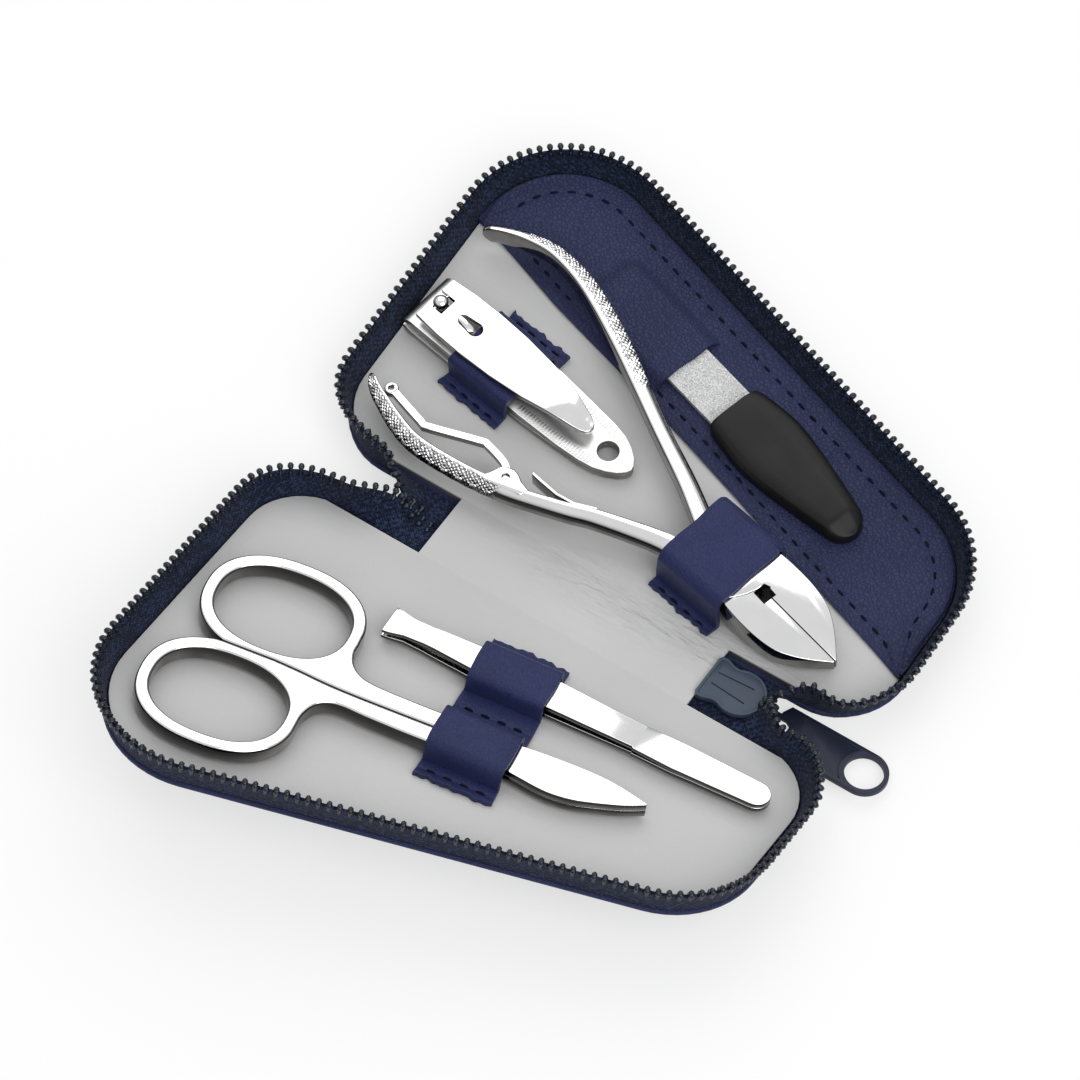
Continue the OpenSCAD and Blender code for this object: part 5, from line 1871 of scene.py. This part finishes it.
        Bench.edit(jaw, thin)
        Bench.soften(jaw, 0.3, 3, 35)
        window = [(9.7, -1.8), (12.5, -1.9), (12.7, 1.0), (11.2, 1.1), (10.9, 1.35), (9.75, 0.9)]
        Bench.punch(jaw, window, 0, 9)
        if side > 0:
            Bench.cut(jaw, Bench.plate("under", [(2, -8), (11, -8), (11, 0.05), (2, 0.05)], 0,
                                       self.lap + self.gap / 2))
        else:
            over = [(-1, 1), (9.82, 1), *((x + 0.1, y) for x, y in self.slit), (6.75, -8), (-1, -8)]
            Bench.punch(jaw, over, self.lap - self.gap / 2, 9)
        Bench.cut(jaw, self.lap_cutter(side > 0))
        z0, z1 = self.low, self.lap - self.gap / 2
        if side > 0:
            z0, z1 = self.lap + self.gap / 2, self.high
        disc = Bench.plate("lap_disc", circle(0, 0, self.joint_r, 64), z0, z1)
        Bench.punch(disc, circle(0, 0, self.rivet_r), 0, 9)
        Bench.soften(disc, 0.3, 2, 40)
        line = self.to_tool(self.near if side > 0 else self.far)
        field_at = (40.0, 76.0) if side > 0 else (34.0, 74.0)
        bar = self.handle(f"nipper_bar_{side}", line, 1 if side > 0 else -1, field_at)
        Bench.cut(bar, self.lap_cutter(side > 0))
        return [jaw, disc, bar]

    def lock(self) -> Obj:
        """The bent lever that holds the handles together."""
        z0, z1 = self.lap + 0.4 - self.wire, self.lap + 0.4 + self.wire
        pts = self.to_tool(curve(self.lever, 0.7))
        sides: list[list[Point]] = [[], []]
        for i, p in enumerate(pts):
            a, b = pts[max(0, i - 1)], pts[min(len(pts) - 1, i + 1)]
            d = Vector((b[0] - a[0], b[1] - a[1])).normalized()
            for k, s in enumerate((-1, 1)):
                w = s * self.wire * 0.85
                sides[k].append((p[0] - d.y * w, p[1] + d.x * w))
        bar = Bench.plate("lock_bar", sides[0] + sides[1][::-1], z0, z1)
        rings = []
        for at, r, hole in ((pts[0], 1.4, 0.75), (pts[-1], 1.3, 0.55)):
            ring = Bench.plate("lock_ring", circle(at[0], at[1], r, 28), z0, z1)
            Bench.punch(ring, circle(at[0], at[1], hole, 20), z0 - 1, z1 + 1)
            Bench.punch(bar, circle(at[0], at[1], hole, 20), z0 - 1, z1 + 1)
            rings.append(Bench.soften(ring, 0.3, 3, 40))
        Bench.soften(bar, 0.35, 3, 40)
        return Bench.join("nipper_lock_bar", [bar, *rings])

    def build(self) -> None:
        """Makes both halves, the ear with its pin, and the lock lever."""
        m = NIPPERS.matrix()
        for side, body, node in ((1, "nippers", "nipper_upper_jaw_half"),
                                 (-1, "nipper_lower_half", "nipper_lower_jaw_half")):
            jaw, disc, bar = self.half(side)
            head = Bench.join(f"nipper_head_{side}", [jaw, disc])
            Piece.fit(head, 40, Place.BACK, m, body, CHROME, [node])
            Piece.fit(bar, 24, Place.BACK, m, body, KNURLED)
        outline = self.to_tool(self.ear)
        ear = Bench.plate("nipper_ear", outline, self.handle_low, self.handle_high)
        x, y = NIPPERS.to_tool(*self.ear_at)
        slot = Bench.plate("slot", circle(x, y, 3.4), self.lap + 0.4 - 0.85, self.lap + 0.4 + 0.85)
        Bench.soften(ear, 0.4, 3, 35)
        Bench.cut(ear, slot)
        Bench.punch(ear, circle(x, y, 0.8, 28), 0, 9)
        pin = Bench.plate("nipper_pin", circle(x, y, 0.7, 24), self.handle_low,
                          self.handle_high - 0.7)
        for piece, body, nodes in ((ear, "nippers", []), (pin, "nippers", ["nipper_lock_pin"]),
                                   (self.lock(), "nipper_lock", ["nipper_lock_lever"])):
            Piece.fit(piece, 40, Place.BACK, m, body, CHROME, nodes)
        LOG.info("nippers: two halves, ear, pin and lock lever")


# ------------------------------------------------------------------ studio


def aim(start: Sequence[float], end: Sequence[float]) -> Euler:
    """The rotation of a camera or lamp at start that looks at end."""
    return (Vector(end) - Vector(start)).to_track_quat("-Z", "Y").to_euler()


@dataclass
class Studio:
    """Camera, floor and light."""

    camera_at: tuple[float, float, float] = (0.4076, -0.6850, 1.4251)
    look_at: tuple[float, float, float] = (-0.0120, -0.0324, 0.0030)
    lens: float = 300.0
    lamps_at: tuple[float, float, float] = (0, -0.03, 0)
    world_strength: float = 0.72
    floor_glow: float = 0.62

    def camera(self) -> None:
        """Sets the camera at the photograph's viewing angle."""
        data = bpy.data.cameras.new("camera")
        data.lens = self.lens
        data.sensor_width = 36.0
        data.clip_end = 20.0
        cam = bpy.data.objects.new("camera", data)
        bpy.context.collection.objects.link(cam)
        cam.location = self.camera_at
        cam.rotation_euler = aim(self.camera_at, self.look_at)
        bpy.context.scene.camera = cam

    def floor(self) -> None:
        """A plain pale floor that shows white to the camera but keeps the shadow."""
        Bench.clear()
        bpy.ops.mesh.primitive_plane_add(size=6.0, location=(0, 0, -0.0004))
        piece = Bench.named("floor")
        s = Shader("floor_white")
        s.set(Base_Color=(0.93, 0.93, 0.93), Roughness=0.9, Specular_IOR_Level=0.1)
        glow = s.node("ShaderNodeEmission", sockets={"Color": (1, 1, 1), "Strength": 1.0})
        ray = s.node("ShaderNodeLightPath", out="Is Camera Ray")
        merge = s.node("ShaderNodeMixShader", sockets={
            0: ray * self.floor_glow, 1: s.principled, 2: glow})
        s.tree.links.new(merge.socket, s.output.inputs[0])
        piece.data.materials.append(s.material)

    def world(self) -> None:
        """Soft surroundings: bright above, greyer towards the horizon."""
        world = bpy.data.worlds.new("studio")
        bpy.context.scene.world = world
        world.use_nodes = True
        w = Nodes(world.node_tree)
        _, _, up = w.parts(w.node("ShaderNodeTexCoord", out="Generated"))
        stops = ((0.0, 0.12), (0.26, 0.16), (0.42, 0.95), (1.0, 1.0))
        greys = [(at, (level,) * 3) for at, level in stops]
        sky = w.node("ShaderNodeValToRGB", {"stops": greys}, {0: up})
        back = w.node("ShaderNodeBackground", sockets={0: sky, 1: self.world_strength})
        w.node("ShaderNodeOutputWorld", sockets={0: back})

    def lamp(self, name: str, at: Sequence[float], size: float, power: float) -> None:
        """A square soft light aimed at the case."""
        data = bpy.data.lights.new(name, "AREA")
        data.size = size
        data.energy = power
        lamp = bpy.data.objects.new(name, data)
        bpy.context.collection.objects.link(lamp)
        lamp.location = at
        lamp.rotation_euler = aim(at, self.lamps_at)

    def build(self) -> None:
        """Makes the studio."""
        self.camera()
        self.floor()
        self.world()
        self.lamp("key", (-0.52, 0.84, 1.05), 1.5, 7.2)
        self.lamp("fill", (0.9, -0.4, 1.2), 1.2, 10.0)
        bpy.context.scene.view_settings.view_transform = "Standard"
        LOG.info("studio: camera, floor and light")


def main() -> None:
    """Builds the case and the studio round it."""
    Studio().build()
    SoftPanels().build()
    for side, body in ((Place.BACK, "back_half"), (Place.FRONT, "front_half")):
        Zip(side, body).build()
    SliderAndPull().build()
    Straps().build()
    Pocket().build()
    Tools().build()
    FileHandle().build()
    ClipperTop().build()
    Scissors().build()
    Nippers().build()


if __name__ == "__main__":
    main()
